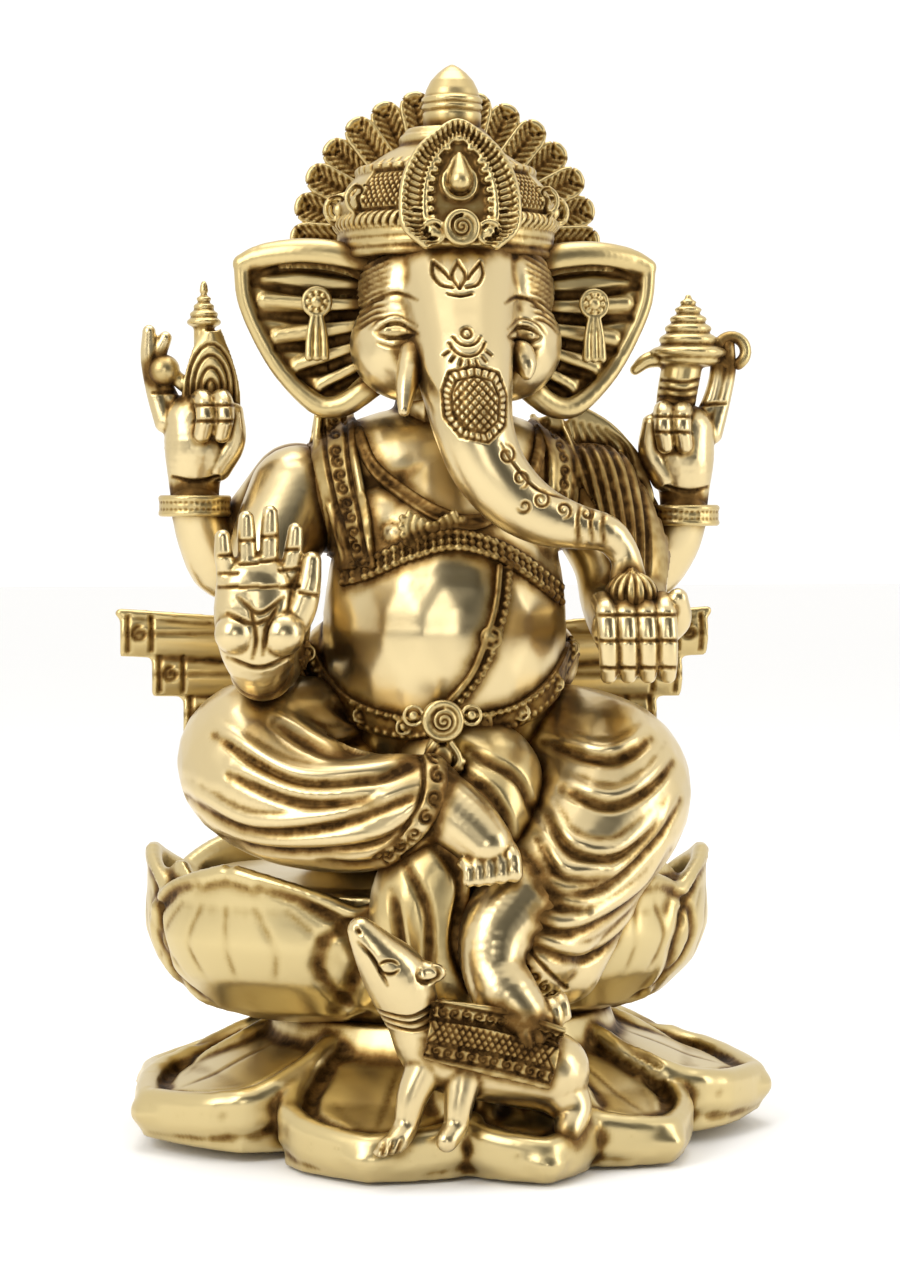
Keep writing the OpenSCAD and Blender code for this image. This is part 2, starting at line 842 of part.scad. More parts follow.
// An ear, as a fan: side is -1 for the right ear
module ear_solid(side) {
  c = head_c + [-2, 0, 0];
  tip = ear_span / 2;
  rim = [
    c + [26 * side, 6, 16], c + [46 * side, 8, 19], c + [(tip - 3) * side, 6, 18],
    c + [(tip - 5) * side, 6, 6], c + [(tip - 14) * side, 4, -12],
    c + [(tip - 28) * side, 0, -28], c + [26 * side, -2, -22]
  ];
  root = c + [20 * side, 0, 0];
  for (i = [0:len(rim) - 2])
    hull() {
      translate(rim[i]) sphere(r = i == 0 ? 4 : 3, $fn = 12);
      translate(rim[i + 1]) sphere(r = 3, $fn = 12);
      translate(root) sphere(r = 3, $fn = 12);
    }
  chain([[rim[0], 4.5], [rim[1], 4.5], [rim[2], 4]], 12);
}

module right_ear() {
  color(brass) difference() {
    ear_solid(-1);
    head_solid();
    crown_block();
    torso_solid();
    chain(right_stole_path, limb_fn);
  }
}

module left_ear() {
  color(brass) difference() {
    ear_solid(1);
    head_solid();
    crown_block();
    torso_solid();
    chain(left_stole_path, limb_fn);
  }
}

module earring_solid(side) {
  c = head_c + [42 * side, 0, 5];
  translate(c) rotate([90, 0, 0]) cylinder(r = 4.5, h = 9, center = true, $fn = 24);
  hull() {
    translate(c + [0, -2, -3]) sphere(r = 2, $fn = 12);
    translate(c + [2 * side, -3, -14]) sphere(r = 4, $fn = 12);
  }
}

module right_earring() {
  color(brass) difference() {
    earring_solid(-1);
    ear_solid(-1);
  }
}

module left_earring() {
  color(brass) difference() {
    earring_solid(1);
    ear_solid(1);
  }
}

/* The crown and the halo */

// The crown's outline, as a half section above its rim
function crown_line(in) = [
  [crown_r - in, 0], [crown_r - in, 8], [crown_r - 3 - in, 12], [crown_r - 5 - in, crown_h * 0.45],
  [crown_r - 10 - in, crown_h * 0.68], [crown_r - 17 - in, crown_h * 0.85]
];

module crown_block() {
  translate([crown_c.x, crown_c.y, crown_c.z - 4]) rotate_extrude($fn = 48)
    polygon(concat([[0, 0]], crown_line(0), [[crown_r - 19, crown_h], [0, crown_h]]));
}

module crown() {
  color(brass) difference() {
    crown_block();
    translate([crown_c.x, crown_c.y, crown_c.z - 4 - eps]) rotate_extrude($fn = 48)
      polygon([
        [0, 0], [crown_r - body_wall, 0], [crown_r - body_wall - 3, 12],
        [crown_r - body_wall - 11, crown_h * 0.68], [0, crown_h - body_wall - 2]
      ]);
    translate(crown_c + [2, 0, crown_h - 20]) cylinder(r = finial_peg_r + spigot_gap, h = 20, $fn = 32);
  }
}

module crown_finial() {
  color(brass) translate(crown_c + [2, 0, crown_h - 4]) rotate_extrude($fn = 48) polygon(concat(
    [[0, -spigot_h], [finial_peg_r, -spigot_h], [finial_peg_r, 0], [9.5, 0], [10, 4], [9.3, 5], [9.8, 6]],
    arc([0, 6], 9.8, finial_h - 6, 0, 90, 8)
  ));
}

// The pointed plaque at the crown's front
module crest_solid() {
  translate(crown_c + [0, -crown_r - 1, 0]) rotate([78, 0, 0]) linear_extrude(9, center = true)
    polygon([
      [-15, -2], [-18, 6], [-17, 16], [-12, 25], [-5, 31], [0, 36], [5, 31], [12, 25], [17, 16], [18, 6],
      [15, -2]
    ]);
}

module crown_crest() {
  color(brass) difference() {
    crest_solid();
    crown_block();
    hull() {
      translate(head_c + [-4, 0, 6]) sphere(r = head_r, $fn = body_fn);
      translate(head_c + [4, 0, 6]) sphere(r = head_r, $fn = body_fn);
    }
  }
}

feather_arc = 205;
feather_step = feather_arc / (feather_count - 1);
feather_r = halo_r * sin(feather_step / 2) * 0.98;

module halo() {
  color(brass) difference() {
    translate(halo_c) rotate([90, 0, 0]) linear_extrude(halo_t, center = true) union() {
      circle(r = halo_r - 12, $fn = 64);
      for (i = [0:feather_count - 1])
        rotate([0, 0, 90 - feather_arc / 2 + i * feather_step]) {
          translate([halo_r - feather_r, 0]) circle(r = feather_r, $fn = 16);
          translate([0, -feather_r]) square([halo_r - feather_r, 2 * feather_r]);
        }
    }
    crown_block();
  }
}

/* The mouse */

module mouse_solid() {
  chain(mouse_path, limb_fn);
  chain([
    [mouse_c + [-14, -4, -2], 8], [mouse_c + [-24, -7, -8], 5.5], [mouse_c + [-30, -8, -10], 4]
  ], 12);
  chain([[mouse_c + [20, 0, -8], 11], [mouse_c + [12, -4, -14], 7]], 12);
  for (x = [0, 5])
    translate(mouse_c + [-17 + x, -9 + x, 24]) rotate([70, 0, 0]) cylinder(r = 5, h = 4, $fn = 20);
}

module mouse() {
  color(polished) difference() {
    mouse_solid();
    left_foot_solid();
    right_foot_solid();
    lap_cloth_solid();
    seat_block();
    chain(left_leg_path);
    lower_block();
  }
}

// The mass of the lower lotus under the mouse
module lower_block() {
  translate([0, 0, -1]) cylinder(r = spread_reach + 10, h = 14, $fn = 64);
  translate([0, 0, 13 - eps]) cylinder(r1 = spread_reach - 20, r2 = waist_r, h = waist_z - 13, $fn = 64);
}

module saddle_cloth() {
  color(brass) difference() {
    chain([
      [mouse_c + [-14, 0, 8], 11.5], [mouse_c + [4, 2, 0], 15], [mouse_c + [16, 3, -3], 15]
    ], limb_fn);
    mouse_solid();
    left_foot_solid();
    lap_cloth_solid();
    seat_block();
    lower_block();
    translate(mouse_c + [-60, -60, -40]) cube([120, 120, 34]);
  }
}

lower_lotus();
upper_lotus();
torso();
right_leg();
left_leg();
right_foot();
left_foot();
lap_cloth();
right_stole();
left_stole();
right_stole_end();
left_stole_end();
belt();
belt_buckle();
sacred_thread();
chest_band();
necklace();
rear_right_arm();
rear_left_arm();
rear_right_hand();
rear_left_hand();
rear_right_bangle();
rear_left_bangle();
goad();
noose();
front_right_arm();
front_left_arm();
front_right_hand();
front_left_hand();
modak();
head();
right_tusk();
left_tusk();
right_ear();
left_ear();
right_earring();
left_earring();
crown();
crown_crest();
crown_finial();
halo();
mouse();
saddle_cloth();
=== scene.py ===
import json
import math
import bpy
import bmesh
import numpy as np
from mathutils import Matrix, Vector
from mathutils.bvhtree import BVHTree


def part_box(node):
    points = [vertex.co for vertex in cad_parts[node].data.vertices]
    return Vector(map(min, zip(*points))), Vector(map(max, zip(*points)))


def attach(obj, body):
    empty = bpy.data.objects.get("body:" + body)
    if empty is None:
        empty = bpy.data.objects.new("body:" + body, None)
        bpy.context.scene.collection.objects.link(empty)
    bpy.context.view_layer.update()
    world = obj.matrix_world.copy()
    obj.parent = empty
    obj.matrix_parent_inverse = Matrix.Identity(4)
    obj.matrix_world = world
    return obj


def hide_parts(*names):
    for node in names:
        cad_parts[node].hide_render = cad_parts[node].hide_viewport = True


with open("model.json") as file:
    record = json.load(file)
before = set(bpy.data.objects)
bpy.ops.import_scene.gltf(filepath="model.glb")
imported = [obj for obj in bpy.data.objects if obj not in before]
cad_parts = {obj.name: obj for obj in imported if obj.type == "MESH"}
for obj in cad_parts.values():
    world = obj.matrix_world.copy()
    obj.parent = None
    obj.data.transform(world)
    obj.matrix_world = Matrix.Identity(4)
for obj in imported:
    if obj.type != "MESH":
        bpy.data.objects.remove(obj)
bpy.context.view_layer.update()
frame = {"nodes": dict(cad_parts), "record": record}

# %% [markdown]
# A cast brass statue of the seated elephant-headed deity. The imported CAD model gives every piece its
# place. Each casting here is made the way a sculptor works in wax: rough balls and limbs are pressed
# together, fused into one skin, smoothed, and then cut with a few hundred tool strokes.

MM = 0.001

# %% [markdown]
# The camera looks slightly down from the statue's right, with a long lens so that the base isn't
# stretched. A short lens could stand nearer, but it would swell whatever is closest to it.

# %% Camera
CAMERA_DISTANCE = 0.930
CAMERA_HEIGHT = 0.195
CAMERA_TURN = math.radians(7.0)
CAMERA_TILT = math.radians(2.5)
AXIS_X = 0.0031

lens_data = bpy.data.cameras.new("camera")
lens_data.sensor_width = 36.0
lens_data.lens = 84.1
lens_data.clip_start = 0.01
camera = bpy.data.objects.new("camera", lens_data)
camera.location = (
    AXIS_X - CAMERA_DISTANCE * math.sin(CAMERA_TURN),
    -CAMERA_DISTANCE * math.cos(CAMERA_TURN),
    CAMERA_HEIGHT,
)
camera.rotation_euler = (math.pi / 2 - CAMERA_TILT, 0.0, -CAMERA_TURN)
bpy.context.collection.objects.link(camera)
bpy.context.scene.camera = camera
print("camera at", [round(c, 3) for c in camera.location])

# %% [markdown]
# The light is a bright tent: big soft panels that a polished metal can mirror, with darker gaps between
# them, because brass under even light looks flat. The floor is one pale sheet.


# %% Floor, panels and surroundings
def panel(name, place, aim, size, watts):
    light = bpy.data.lights.new(name, "AREA")
    light.shape = "RECTANGLE"
    light.size, light.size_y = size
    light.energy = watts
    lamp = bpy.data.objects.new(name, light)
    lamp.location = place
    lamp.rotation_euler = (Vector(aim) - Vector(place)).to_track_quat("-Z", "Y").to_euler()
    bpy.context.collection.objects.link(lamp)


panel("key panel", (-0.75, -0.75, 0.75), (0, 0, 0.16), (0.55, 0.9), 7.5)
panel("fill panel", (0.95, -0.45, 0.35), (0, 0, 0.16), (0.35, 0.9), 3.2)
panel("top panel", (0.0, 0.05, 1.1), (0, 0, 0.15), (0.8, 0.6), 5)
panel("low panel", (-0.15, -1.3, 0.3), (0, 0, 0.12), (0.4, 0.3), 1.6)

floor_mesh = bpy.data.meshes.new("floor")
sweep = bmesh.new()
bmesh.ops.create_grid(sweep, x_segments=2, y_segments=2, size=6.0)
sweep.to_mesh(floor_mesh)
sweep.free()
floor = bpy.data.objects.new("floor", floor_mesh)
bpy.context.collection.objects.link(floor)

# a dark flag behind the camera, for the metal to mirror
flag_mesh = bpy.data.meshes.new("dark flag")
cloth = bmesh.new()
bmesh.ops.create_grid(cloth, x_segments=1, y_segments=1, size=1.0,
                      matrix=Matrix.Translation((0, -1.7, 0.9)) @ Matrix.Rotation(math.pi / 2, 4, "X")
                      @ Matrix.Diagonal((1.9, 1.0, 1, 1)))
cloth.to_mesh(flag_mesh)
cloth.free()
flag = bpy.data.objects.new("dark flag", flag_mesh)
bpy.context.collection.objects.link(flag)
black = bpy.data.materials.new("black felt")
black.use_nodes = True
black.node_tree.nodes["Principled BSDF"].inputs["Base Color"].default_value = (0.02, 0.02, 0.02, 1)
black.node_tree.nodes["Principled BSDF"].inputs["Roughness"].default_value = 1.0
flag_mesh.materials.append(black)

paper = bpy.data.materials.new("pale paper")
paper.use_nodes = True
paper.node_tree.nodes["Principled BSDF"].inputs["Base Color"].default_value = (0.9, 0.9, 0.9, 1)
paper.node_tree.nodes["Principled BSDF"].inputs["Roughness"].default_value = 0.9
floor_mesh.materials.append(paper)

world = bpy.data.worlds.new("tent")
world.use_nodes = True
world.node_tree.nodes["Background"].inputs["Color"].default_value = (1.0, 0.99, 0.97, 1)
world.node_tree.nodes["Background"].inputs["Strength"].default_value = 1.1
bpy.context.scene.world = world
bpy.context.scene.view_settings.view_transform = "Standard"
print("studio ready")

# %% [markdown]
# All sizes below are millimetres. The anchors start from the imported model's boxes: the hips stand on the
# seat, and the neck and the head hang from the crown. Given offsets lead on from there.


# %% Anchors from the CAD model
def mm_box(node):
    low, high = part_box(node)
    return np.array(low) / MM, np.array(high) / MM


def vec(*numbers):
    return np.array(numbers, float)


base_high = mm_box("lower_lotus")[1]
seat_low, seat_high = mm_box("upper_lotus")
crown_low, crown_high = mm_box("crown")
WAIST_Z = base_high[2]
DECK_Z = seat_high[2] - 7
PELVIS = vec(-1, -8, DECK_Z + 36)
BELLY = PELVIS + vec(0, -12, 40)
CROWN = vec((crown_low[0] + crown_high[0]) / 2, (crown_low[1] + crown_high[1]) / 2, crown_low[2] + 4)
HEAD = CROWN + vec(2, -6, -22)
NECK = HEAD + vec(-1, 8, -34)
CHEST = NECK + vec(-1, 4, -24)
R_SHOULDER = NECK + vec(-50, 8, -14)
L_SHOULDER = NECK + vec(49, 8, -14)
R_WRIST = (mm_box("rear_right_bangle")[0] + mm_box("rear_right_bangle")[1]) / 2
L_WRIST = (mm_box("rear_left_bangle")[0] + mm_box("rear_left_bangle")[1]) / 2
BLESS_WRIST = R_SHOULDER + vec(-11, -52, -56)
BLESSING = BLESS_WRIST + vec(-1, -6, 17)
OFFERING = L_SHOULDER + vec(-2, -62, -48)
MOUSE = vec(2, -86, WAIST_Z - 4)
print("pelvis", PELVIS, "head", HEAD, "crown", CROWN)

# %% [markdown]
# A limb is a row of balls along a smooth curve, as thick as the numbers say at each point. Balls are
# the easiest thing to fuse: a voxel remesh later wraps one skin round all of them.


# %% Clay: balls, limbs and plates
def smooth_line(points, step=1.0):
    """Points of a smooth curve through the given ones; extra columns, such as a radius, run along."""
    p = np.array(points, float)
    p = np.vstack([2 * p[0] - p[1], p, 2 * p[-1] - p[-2]])
    out = []
    for i in range(1, len(p) - 2):
        a, b, c, d = p[i - 1:i + 3]
        count = max(1, int(np.linalg.norm((c - b)[:3]) / step))
        for t in np.arange(count) / count:
            out.append(
                0.5 * (2 * b + (c - a) * t + (2 * a - 5 * b + 4 * c - d) * t ** 2
                       + (3 * b - a - 3 * c + d) * t ** 3)
            )
    out.append(p[-2])
    return np.array(out)


def template(detail):
    """A unit ball that is made once, because adding a finished mesh to big clay is fast."""
    bm = bmesh.new()
    bmesh.ops.create_icosphere(bm, subdivisions=detail, radius=1.0)
    mesh = bpy.data.meshes.new("ball template")
    bm.to_mesh(mesh)
    bm.free()
    flat = np.empty(len(mesh.vertices) * 3, np.float32)
    mesh.vertices.foreach_get("co", flat)
    return mesh, flat


BALLS = {detail: template(detail) for detail in (2, 3)}


def ball(bm, centre, radius, stretch=(1, 1, 1), turn=None):
    place = Matrix.Translation(Vector(centre))
    if turn is not None:
        place = place @ turn
    place = place @ Matrix.Diagonal((radius * stretch[0], radius * stretch[1], radius * stretch[2], 1))
    mesh, flat = BALLS[3 if radius > 4 else 2]
    mesh.vertices.foreach_set("co", flat)
    mesh.transform(place)
    bm.from_mesh(mesh, face_normals=False, vertex_normals=False)


def limb(bm, points, origin=(0, 0, 0), stretch=(1, 1, 1), step=None):
    """Points are x, y, z and radius, from the origin."""
    line = np.array(points, float)
    line[:, :3] += np.array(origin)
    gap = step or max(0.35, 0.3 * line[:, 3].min())
    for p in smooth_line(line, gap):
        ball(bm, p[:3], max(p[3], 0.2), stretch)


def plate(bm, outline, thickness, place):
    """A flat plate from an outline in its own XY, centred on its plane and moved by a matrix."""
    verts = [bm.verts.new((p[0], p[1], -thickness / 2)) for p in outline]
    face = bm.faces.new(verts)
    extruded = bmesh.ops.extrude_face_region(bm, geom=[face, *face.edges, *verts], use_keep_orig=True)
    top = [g for g in extruded["geom"] if isinstance(g, bmesh.types.BMVert)]
    bmesh.ops.translate(bm, verts=top, vec=(0, 0, thickness))
    bmesh.ops.transform(bm, verts=verts + top, matrix=place)


def lathe(bm, section, origin, turn=None, steps=64):
    """A section of radius and height, spun round Z."""
    verts = [bm.verts.new((max(r, 0.001), 0, z)) for r, z in section]
    edges = [bm.edges.new(pair) for pair in zip(verts, verts[1:])]
    made = bmesh.ops.spin(
        bm, geom=verts + edges, cent=(0, 0, 0), axis=(0, 0, 1), angle=math.tau, steps=steps, use_merge=True
    )
    new = {v for g in made["geom_last"] for v in ([g] if isinstance(g, bmesh.types.BMVert) else g.verts)}
    linked = set()
    stack = list(new)
    while stack:
        v = stack.pop()
        if v in linked:
            continue
        linked.add(v)
        stack.extend(e.other_vert(v) for e in v.link_edges)
    place = Matrix.Translation(Vector(origin)) @ (turn or Matrix())
    bmesh.ops.transform(bm, verts=list(linked), matrix=place)


def sheet(bm, shape, across, along, thickness):
    """A thick closed sheet: shape(u, v) gives a point for u from -1 to 1 and v from 0 to 1."""
    layer = bm.verts.layers.float_vector.get("out") or bm.verts.layers.float_vector.new("out")
    verts = bmesh.ops.create_grid(bm, x_segments=across, y_segments=along, size=1.0)["verts"]
    faces = list({f for v in verts for f in v.link_faces})
    edges = list({e for v in verts for e in v.link_edges})
    for v in verts:
        v.co = Vector(shape(v.co.x, (v.co.y + 1) / 2))
    for f in faces:
        f.normal_update()
    for v in verts:
        v.normal_update()
        v[layer] = v.normal * thickness / 2
    other = bmesh.ops.extrude_face_region(bm, geom=faces + edges + verts, use_keep_orig=True)["geom"]
    for v in verts:
        v.co += v[layer]
    for v in other:
        if isinstance(v, bmesh.types.BMVert):
            v.co -= v[layer]


def arc_line(centre, radius, start, end, count=10, rise=None):
    """Points on an arc in degrees, in two dimensions."""
    ry = rise if rise is not None else radius
    return [
        (centre[0] + radius * math.cos(math.radians(a)), centre[1] + ry * math.sin(math.radians(a)))
        for a in np.linspace(start, end, count)
    ]


def curl(centre, radius, start=0.0, turns=1.5, way=1, small=0.2):
    """A spiral that winds inwards."""
    n = int(10 * turns) + 4
    return [
        (centre[0] + radius * (1 - (1 - small) * i / n)
         * math.cos(math.radians(start + way * 360 * turns * i / n)),
         centre[1] + radius * (1 - (1 - small) * i / n)
         * math.sin(math.radians(start + way * 360 * turns * i / n)))
        for i in range(n + 1)
    ]


def scrolls(line, radius, gap):
    """Curls that alternate along a line, as on an engraved border."""
    out = []
    for i, p in enumerate(smooth_line([(*q, 0) for q in line], gap)):
        way = 1 if i % 2 else -1
        out.append(curl((p[0], p[1]), radius, 90 * way, 1.2, way))
    return out


print("clay tools ready")

# %% [markdown]
# A casting is fused with Blender's voxel Remesh modifier and smoothed. The tool strokes are then plain
# arithmetic on its vertices: each stroke pushes the skin in (or out) along its normals near a line.
# Every cut is also remembered as a darkening of its colour: brown patina, which is left wherever a cloth
# can't reach, together with painted shade in the groove.


# %% The casting and its tool strokes
castings = {}


def line_distance(points, line):
    """How far each point lies from a polyline, and how far along it the nearest spot is, from 0 to 1."""
    best = np.full(len(points), 1e9)
    along = np.zeros(len(points))
    lengths = np.linalg.norm(np.diff(line, axis=0), axis=1)
    total = max(lengths.sum(), 1e-9)
    start = 0.0
    for a, b, length in zip(line, line[1:], lengths):
        d = b - a
        t = np.clip(((points - a) @ d) / max(length ** 2, 1e-12), 0, 1)
        gap = np.linalg.norm(points - a - t[:, None] * d, axis=1)
        near = gap < best
        best[near] = gap[near]
        along[near] = (start + t[near] * length) / total
        start += length
    return best, along


# A view's two flat axes, the axis that it looks along, and the sign of the side that it sees
VIEWS = {"front": ((0, 2), 1, -1), "back": ((0, 2), 1, 1)}


class Casting:
    """One fused skin, which stands in for the CAD node of its name."""

    def __init__(self, name, bm, voxel, rounds=4):
        self.nodes = [name]
        mesh = bpy.data.meshes.new(name)
        bmesh.ops.scale(bm, vec=(MM, MM, MM), verts=bm.verts)
        bm.to_mesh(mesh)
        bm.free()
        raw = bpy.data.objects.new(name + " clay", mesh)
        bpy.context.collection.objects.link(raw)
        fuse = raw.modifiers.new("fuse", "REMESH")
        fuse.mode = "VOXEL"
        fuse.voxel_size = voxel * MM
        fuse.adaptivity = 0.0
        fused = bpy.data.meshes.new_from_object(raw.evaluated_get(bpy.context.evaluated_depsgraph_get()))
        bpy.data.objects.remove(raw)
        bpy.data.meshes.remove(mesh)
        fused.name = name
        self.object = bpy.data.objects.new(name, fused)
        bpy.context.collection.objects.link(self.object)
        self.read()
        self.cut = np.zeros(len(self.points))
        self.smooth(rounds)
        castings[name] = self

    def read(self):
        mesh = self.object.data
        flat = np.empty(len(mesh.vertices) * 3)
        mesh.vertices.foreach_get("co", flat)
        self.points = flat.reshape(-1, 3) / MM
        pairs = np.empty(len(mesh.edges) * 2, np.int32)
        mesh.edges.foreach_get("vertices", pairs)
        self.pairs = pairs.reshape(-1, 2)
        self.degree = np.maximum(np.bincount(pairs, minlength=len(self.points)), 1)

    def average(self, values):
        a, b = self.pairs.T
        n = len(self.points)
        if values.ndim == 1:
            return (np.bincount(a, values[b], n) + np.bincount(b, values[a], n)) / self.degree
        return np.stack([self.average(values[:, i]) for i in range(values.shape[1])], 1)

    def smooth(self, rounds, share=0.6):
        for _ in range(rounds):
            self.points += share * (self.average(self.points) - self.points)
            self.points -= 0.5 * share * (self.average(self.points) - self.points)

    def normals(self):
        mesh = self.object.data
        mesh.vertices.foreach_set("co", (self.points * MM).ravel())
        mesh.update()
        flat = np.empty(len(self.points) * 3)
        mesh.vertices.foreach_get("normal", flat)
        return flat.reshape(-1, 3)

    def strokes(self, lines, width, depth, view="front", taper=True, patina_and_painted_shade=1.0, limit=0.1, within=None):
        """Push the skin in by depth along each line; a negative depth raises a rib.

        A view is a name from VIEWS, or a function that flattens the points to two dimensions.
        """
        normals = self.normals()
        if callable(view):
            flat, seen = view(self.points), np.ones(len(self.points), bool)
        else:
            axes, axis, sign = VIEWS[view]
            flat, seen = self.points[:, axes], normals[:, axis] * sign > limit
        if within is not None:
            seen &= within(self.points)
        push = np.zeros(len(self.points))
        for line in lines:
            line = np.array(line, float)
            if 2 < len(line) < 9:
                line = smooth_line([(*p, 0) for p in line], 1.2)[:, :2]
            near = seen & np.all(flat > line.min(0) - width, 1) & np.all(flat < line.max(0) + width, 1)
            index = np.flatnonzero(near)
            if not len(index):
                continue
            gap, along = line_distance(flat[index], line)
            shape = np.clip(1 - (gap / width) ** 2, 0, 1) ** 2
            if taper:
                shape *= np.sqrt(np.clip(np.sin(np.pi * np.clip(along, 0.02, 0.98)) * 1.4, 0, 1))
            push[index] = np.maximum(push[index], shape)
        self.points -= normals * (push * depth)[:, None]
        # a cut is stored to darken its colour later: brown patina plus painted shade in the groove
        if depth > 0:
            self.cut = np.maximum(self.cut, push * patina_and_painted_shade)
        return push

    def refine(self, near):
        """Split the faces where near(points) is true, so that finer strokes can be cut there."""
        bm = bmesh.new()
        self.normals()
        bm.from_mesh(self.object.data)
        chosen = near(self.points)
        edges = [e for e in bm.edges if chosen[e.verts[0].index] and chosen[e.verts[1].index]]
        keep = bm.verts.layers.float.new("cut")
        for v in bm.verts:
            v[keep] = self.cut[v.index]
        bmesh.ops.subdivide_edges(bm, edges=edges, cuts=1, use_grid_fill=True)
        bmesh.ops.triangulate(bm, faces=[f for f in bm.faces if len(f.verts) > 4])
        self.cut = np.array([v[keep] for v in bm.verts])
        bm.verts.layers.float.remove(keep)
        bm.to_mesh(self.object.data)
        bm.free()
        self.read()

    def polygons(self):
        return [tuple(p.vertices) for p in self.object.data.polygons]


def tree_of(names):
    """One search tree, in millimetres, over several castings."""
    verts, faces = [], []
    for name in names:
        start = len(verts)
        verts += castings[name].points.tolist()
        faces += [[i + start for i in p] for p in castings[name].polygons()]
    return BVHTree.FromPolygons(verts, faces)


def laid(tree, x, z, lift=0.0, start=-200.0, miss=0.0):
    """The point on the front of a body at this x and z, lifted towards the front."""
    hit = tree.ray_cast(Vector((x, start, z)), Vector((0, 1, 0)))
    return vec(x, (hit[0].y if hit[0] is not None else miss) - lift, z)


def ribbon(bm, tree, line, half, lift, thickness, miss=0.0, across=8):
    """A strip laid over a body along a line of the front view; half may change along it."""
    spine = smooth_line([(*p, 0) for p in line], 1.5)[:, :2]
    halves = np.interp(np.linspace(0, 1, len(spine)), np.linspace(0, 1, np.size(half)), np.atleast_1d(half))
    tangent = np.gradient(spine, axis=0)
    tangent /= np.linalg.norm(tangent, axis=1)[:, None]
    side = np.stack([tangent[:, 1], -tangent[:, 0]], 1)

    def shape(u, v):
        i = v * (len(spine) - 1)
        p = [np.interp(i, range(len(spine)), spine[:, k]) for k in (0, 1)]
        n = [np.interp(i, range(len(spine)), side[:, k]) for k in (0, 1)]
        h = np.interp(i, range(len(spine)), halves)
        return laid(tree, p[0] + n[0] * h * u, p[1] + n[1] * h * u, lift, miss=miss)

    sheet(bm, shape, across, max(4, len(spine)), thickness)


def beads(bm, tree, line, radius, lift=0.5, gap=None, miss=0.0):
    """A string of beads laid over a body."""
    for p in smooth_line([(*q, 0) for q in line], gap or radius * 2.05):
        spot = laid(tree, p[0], p[1], lift, miss=miss)
        ball(bm, spot, radius)


def boss(bm, place, radius, depth, turn=None):
    """A round rosette: a flat ball with a ring round it."""
    ball(bm, place, radius * 0.55, (1, depth, 1), turn)
    ring = [[radius * math.cos(a), 0, radius * math.sin(a), radius * 0.22]
            for a in np.linspace(0, math.tau, 13)]
    limb(bm, ring, place, step=radius * 0.12)


def near_lines(lines, reach, view="front"):
    """A test for refine: within reach of any of the lines, on the side that the view shows."""
    axes, axis, sign = VIEWS[view]

    def test(points):
        flat = points[:, axes]
        hit = np.zeros(len(points), bool)
        for line in lines:
            line = np.array(line, float)
            index = np.flatnonzero(
                np.all(flat > line.min(0) - reach, 1) & np.all(flat < line.max(0) + reach, 1)
            )
            if len(index):
                gap, _ = line_distance(flat[index], line)
                hit[index[gap < reach]] = True
        return hit

    return test


print("casting tools ready")

# %% [markdown]
# The lotus seat comes first. A lower petal lies flat: its floor falls from the waist to a thick rim
# that turns up, and its tip is pointed. An upper petal stands and cups the seat.

# %% Lower lotus
LOWER_PETALS = [(-69, 33, 4), (-19, 31, 0), (11, 22, -1), (37, 25, 0), (78, 33, 5),
                (121, 33, 0), (163, 33, 0), (207, 33, 0), (249, 33, 0)]


def petal_half(t):
    """Half width of a petal along its length: a waist, a broad middle and an ogee tip."""
    return np.interp(t, [0, 0.25, 0.5, 0.68, 0.82, 0.92, 0.97, 1],
                     [0.62, 0.9, 1.0, 0.95, 0.72, 0.4, 0.18, 0.03])


clay = bmesh.new()
for angle, half, lift in LOWER_PETALS:
    turn = Matrix.Rotation(math.radians(angle), 4, "Z")
    slope = math.tan(math.radians(lift))
    RIM = 101.0 - (3 if lift == 0 else 0)

    def top(u, t, grow=0.0):
        r = 44 + (RIM - 44 - grow) * t
        base = np.interp(t, [0, 0.3, 0.6, 0.85, 1],
                         [WAIST_Z - 4, WAIST_Z - 14, 15.5, 12, 10.5]) + slope * (r - 44)
        return turn @ Vector((u * half * petal_half(t), -r, base + 3.0 * (1 - u * u) * math.sin(math.pi * t)))

    verts = bmesh.ops.create_grid(clay, x_segments=14, y_segments=22, size=1.0)["verts"]
    faces = list({f for v in verts for f in v.link_faces})
    for v in verts:
        v.co = top(v.co.x, (v.co.y + 1) / 2)
    edges = list({e for v in verts for e in v.link_edges})
    floor_part = bmesh.ops.extrude_face_region(clay, geom=faces + edges + verts, use_keep_orig=True)
    for g in floor_part["geom"]:
        if isinstance(g, bmesh.types.BMVert):
            g.co.z = 1.0 + max(0.0, slope * (math.hypot(g.co.x, g.co.y) - 60))
    for side in (-1, 1):
        rim = []
        for t in np.linspace(0.12, 1.0, 15):
            p = top(side * 0.94, t, 2.0)
            rim.append([p.x, p.y, p.z + 0.6, np.interp(t, [0, 0.7, 1], [3.2, 4.4, 4.0])])
        limb(clay, rim, step=1.4)
        wall = [[p[0], p[1], max(p[2] - k, 4.0 + slope * 30), 4.1] for k in (3.0, 5.6) for p in rim[4:]]
        limb(clay, wall, step=1.6)
lathe(clay, [(0, 2), (66, 2), (66, 14), (56, WAIST_Z - 8), (53, WAIST_Z), (0, WAIST_Z)], (0, 0, 0))
lower_lotus = Casting("lower_lotus", clay, 1.05, 5)
lower_lotus.points[:, 2] = np.maximum(lower_lotus.points[:, 2], 0.0)
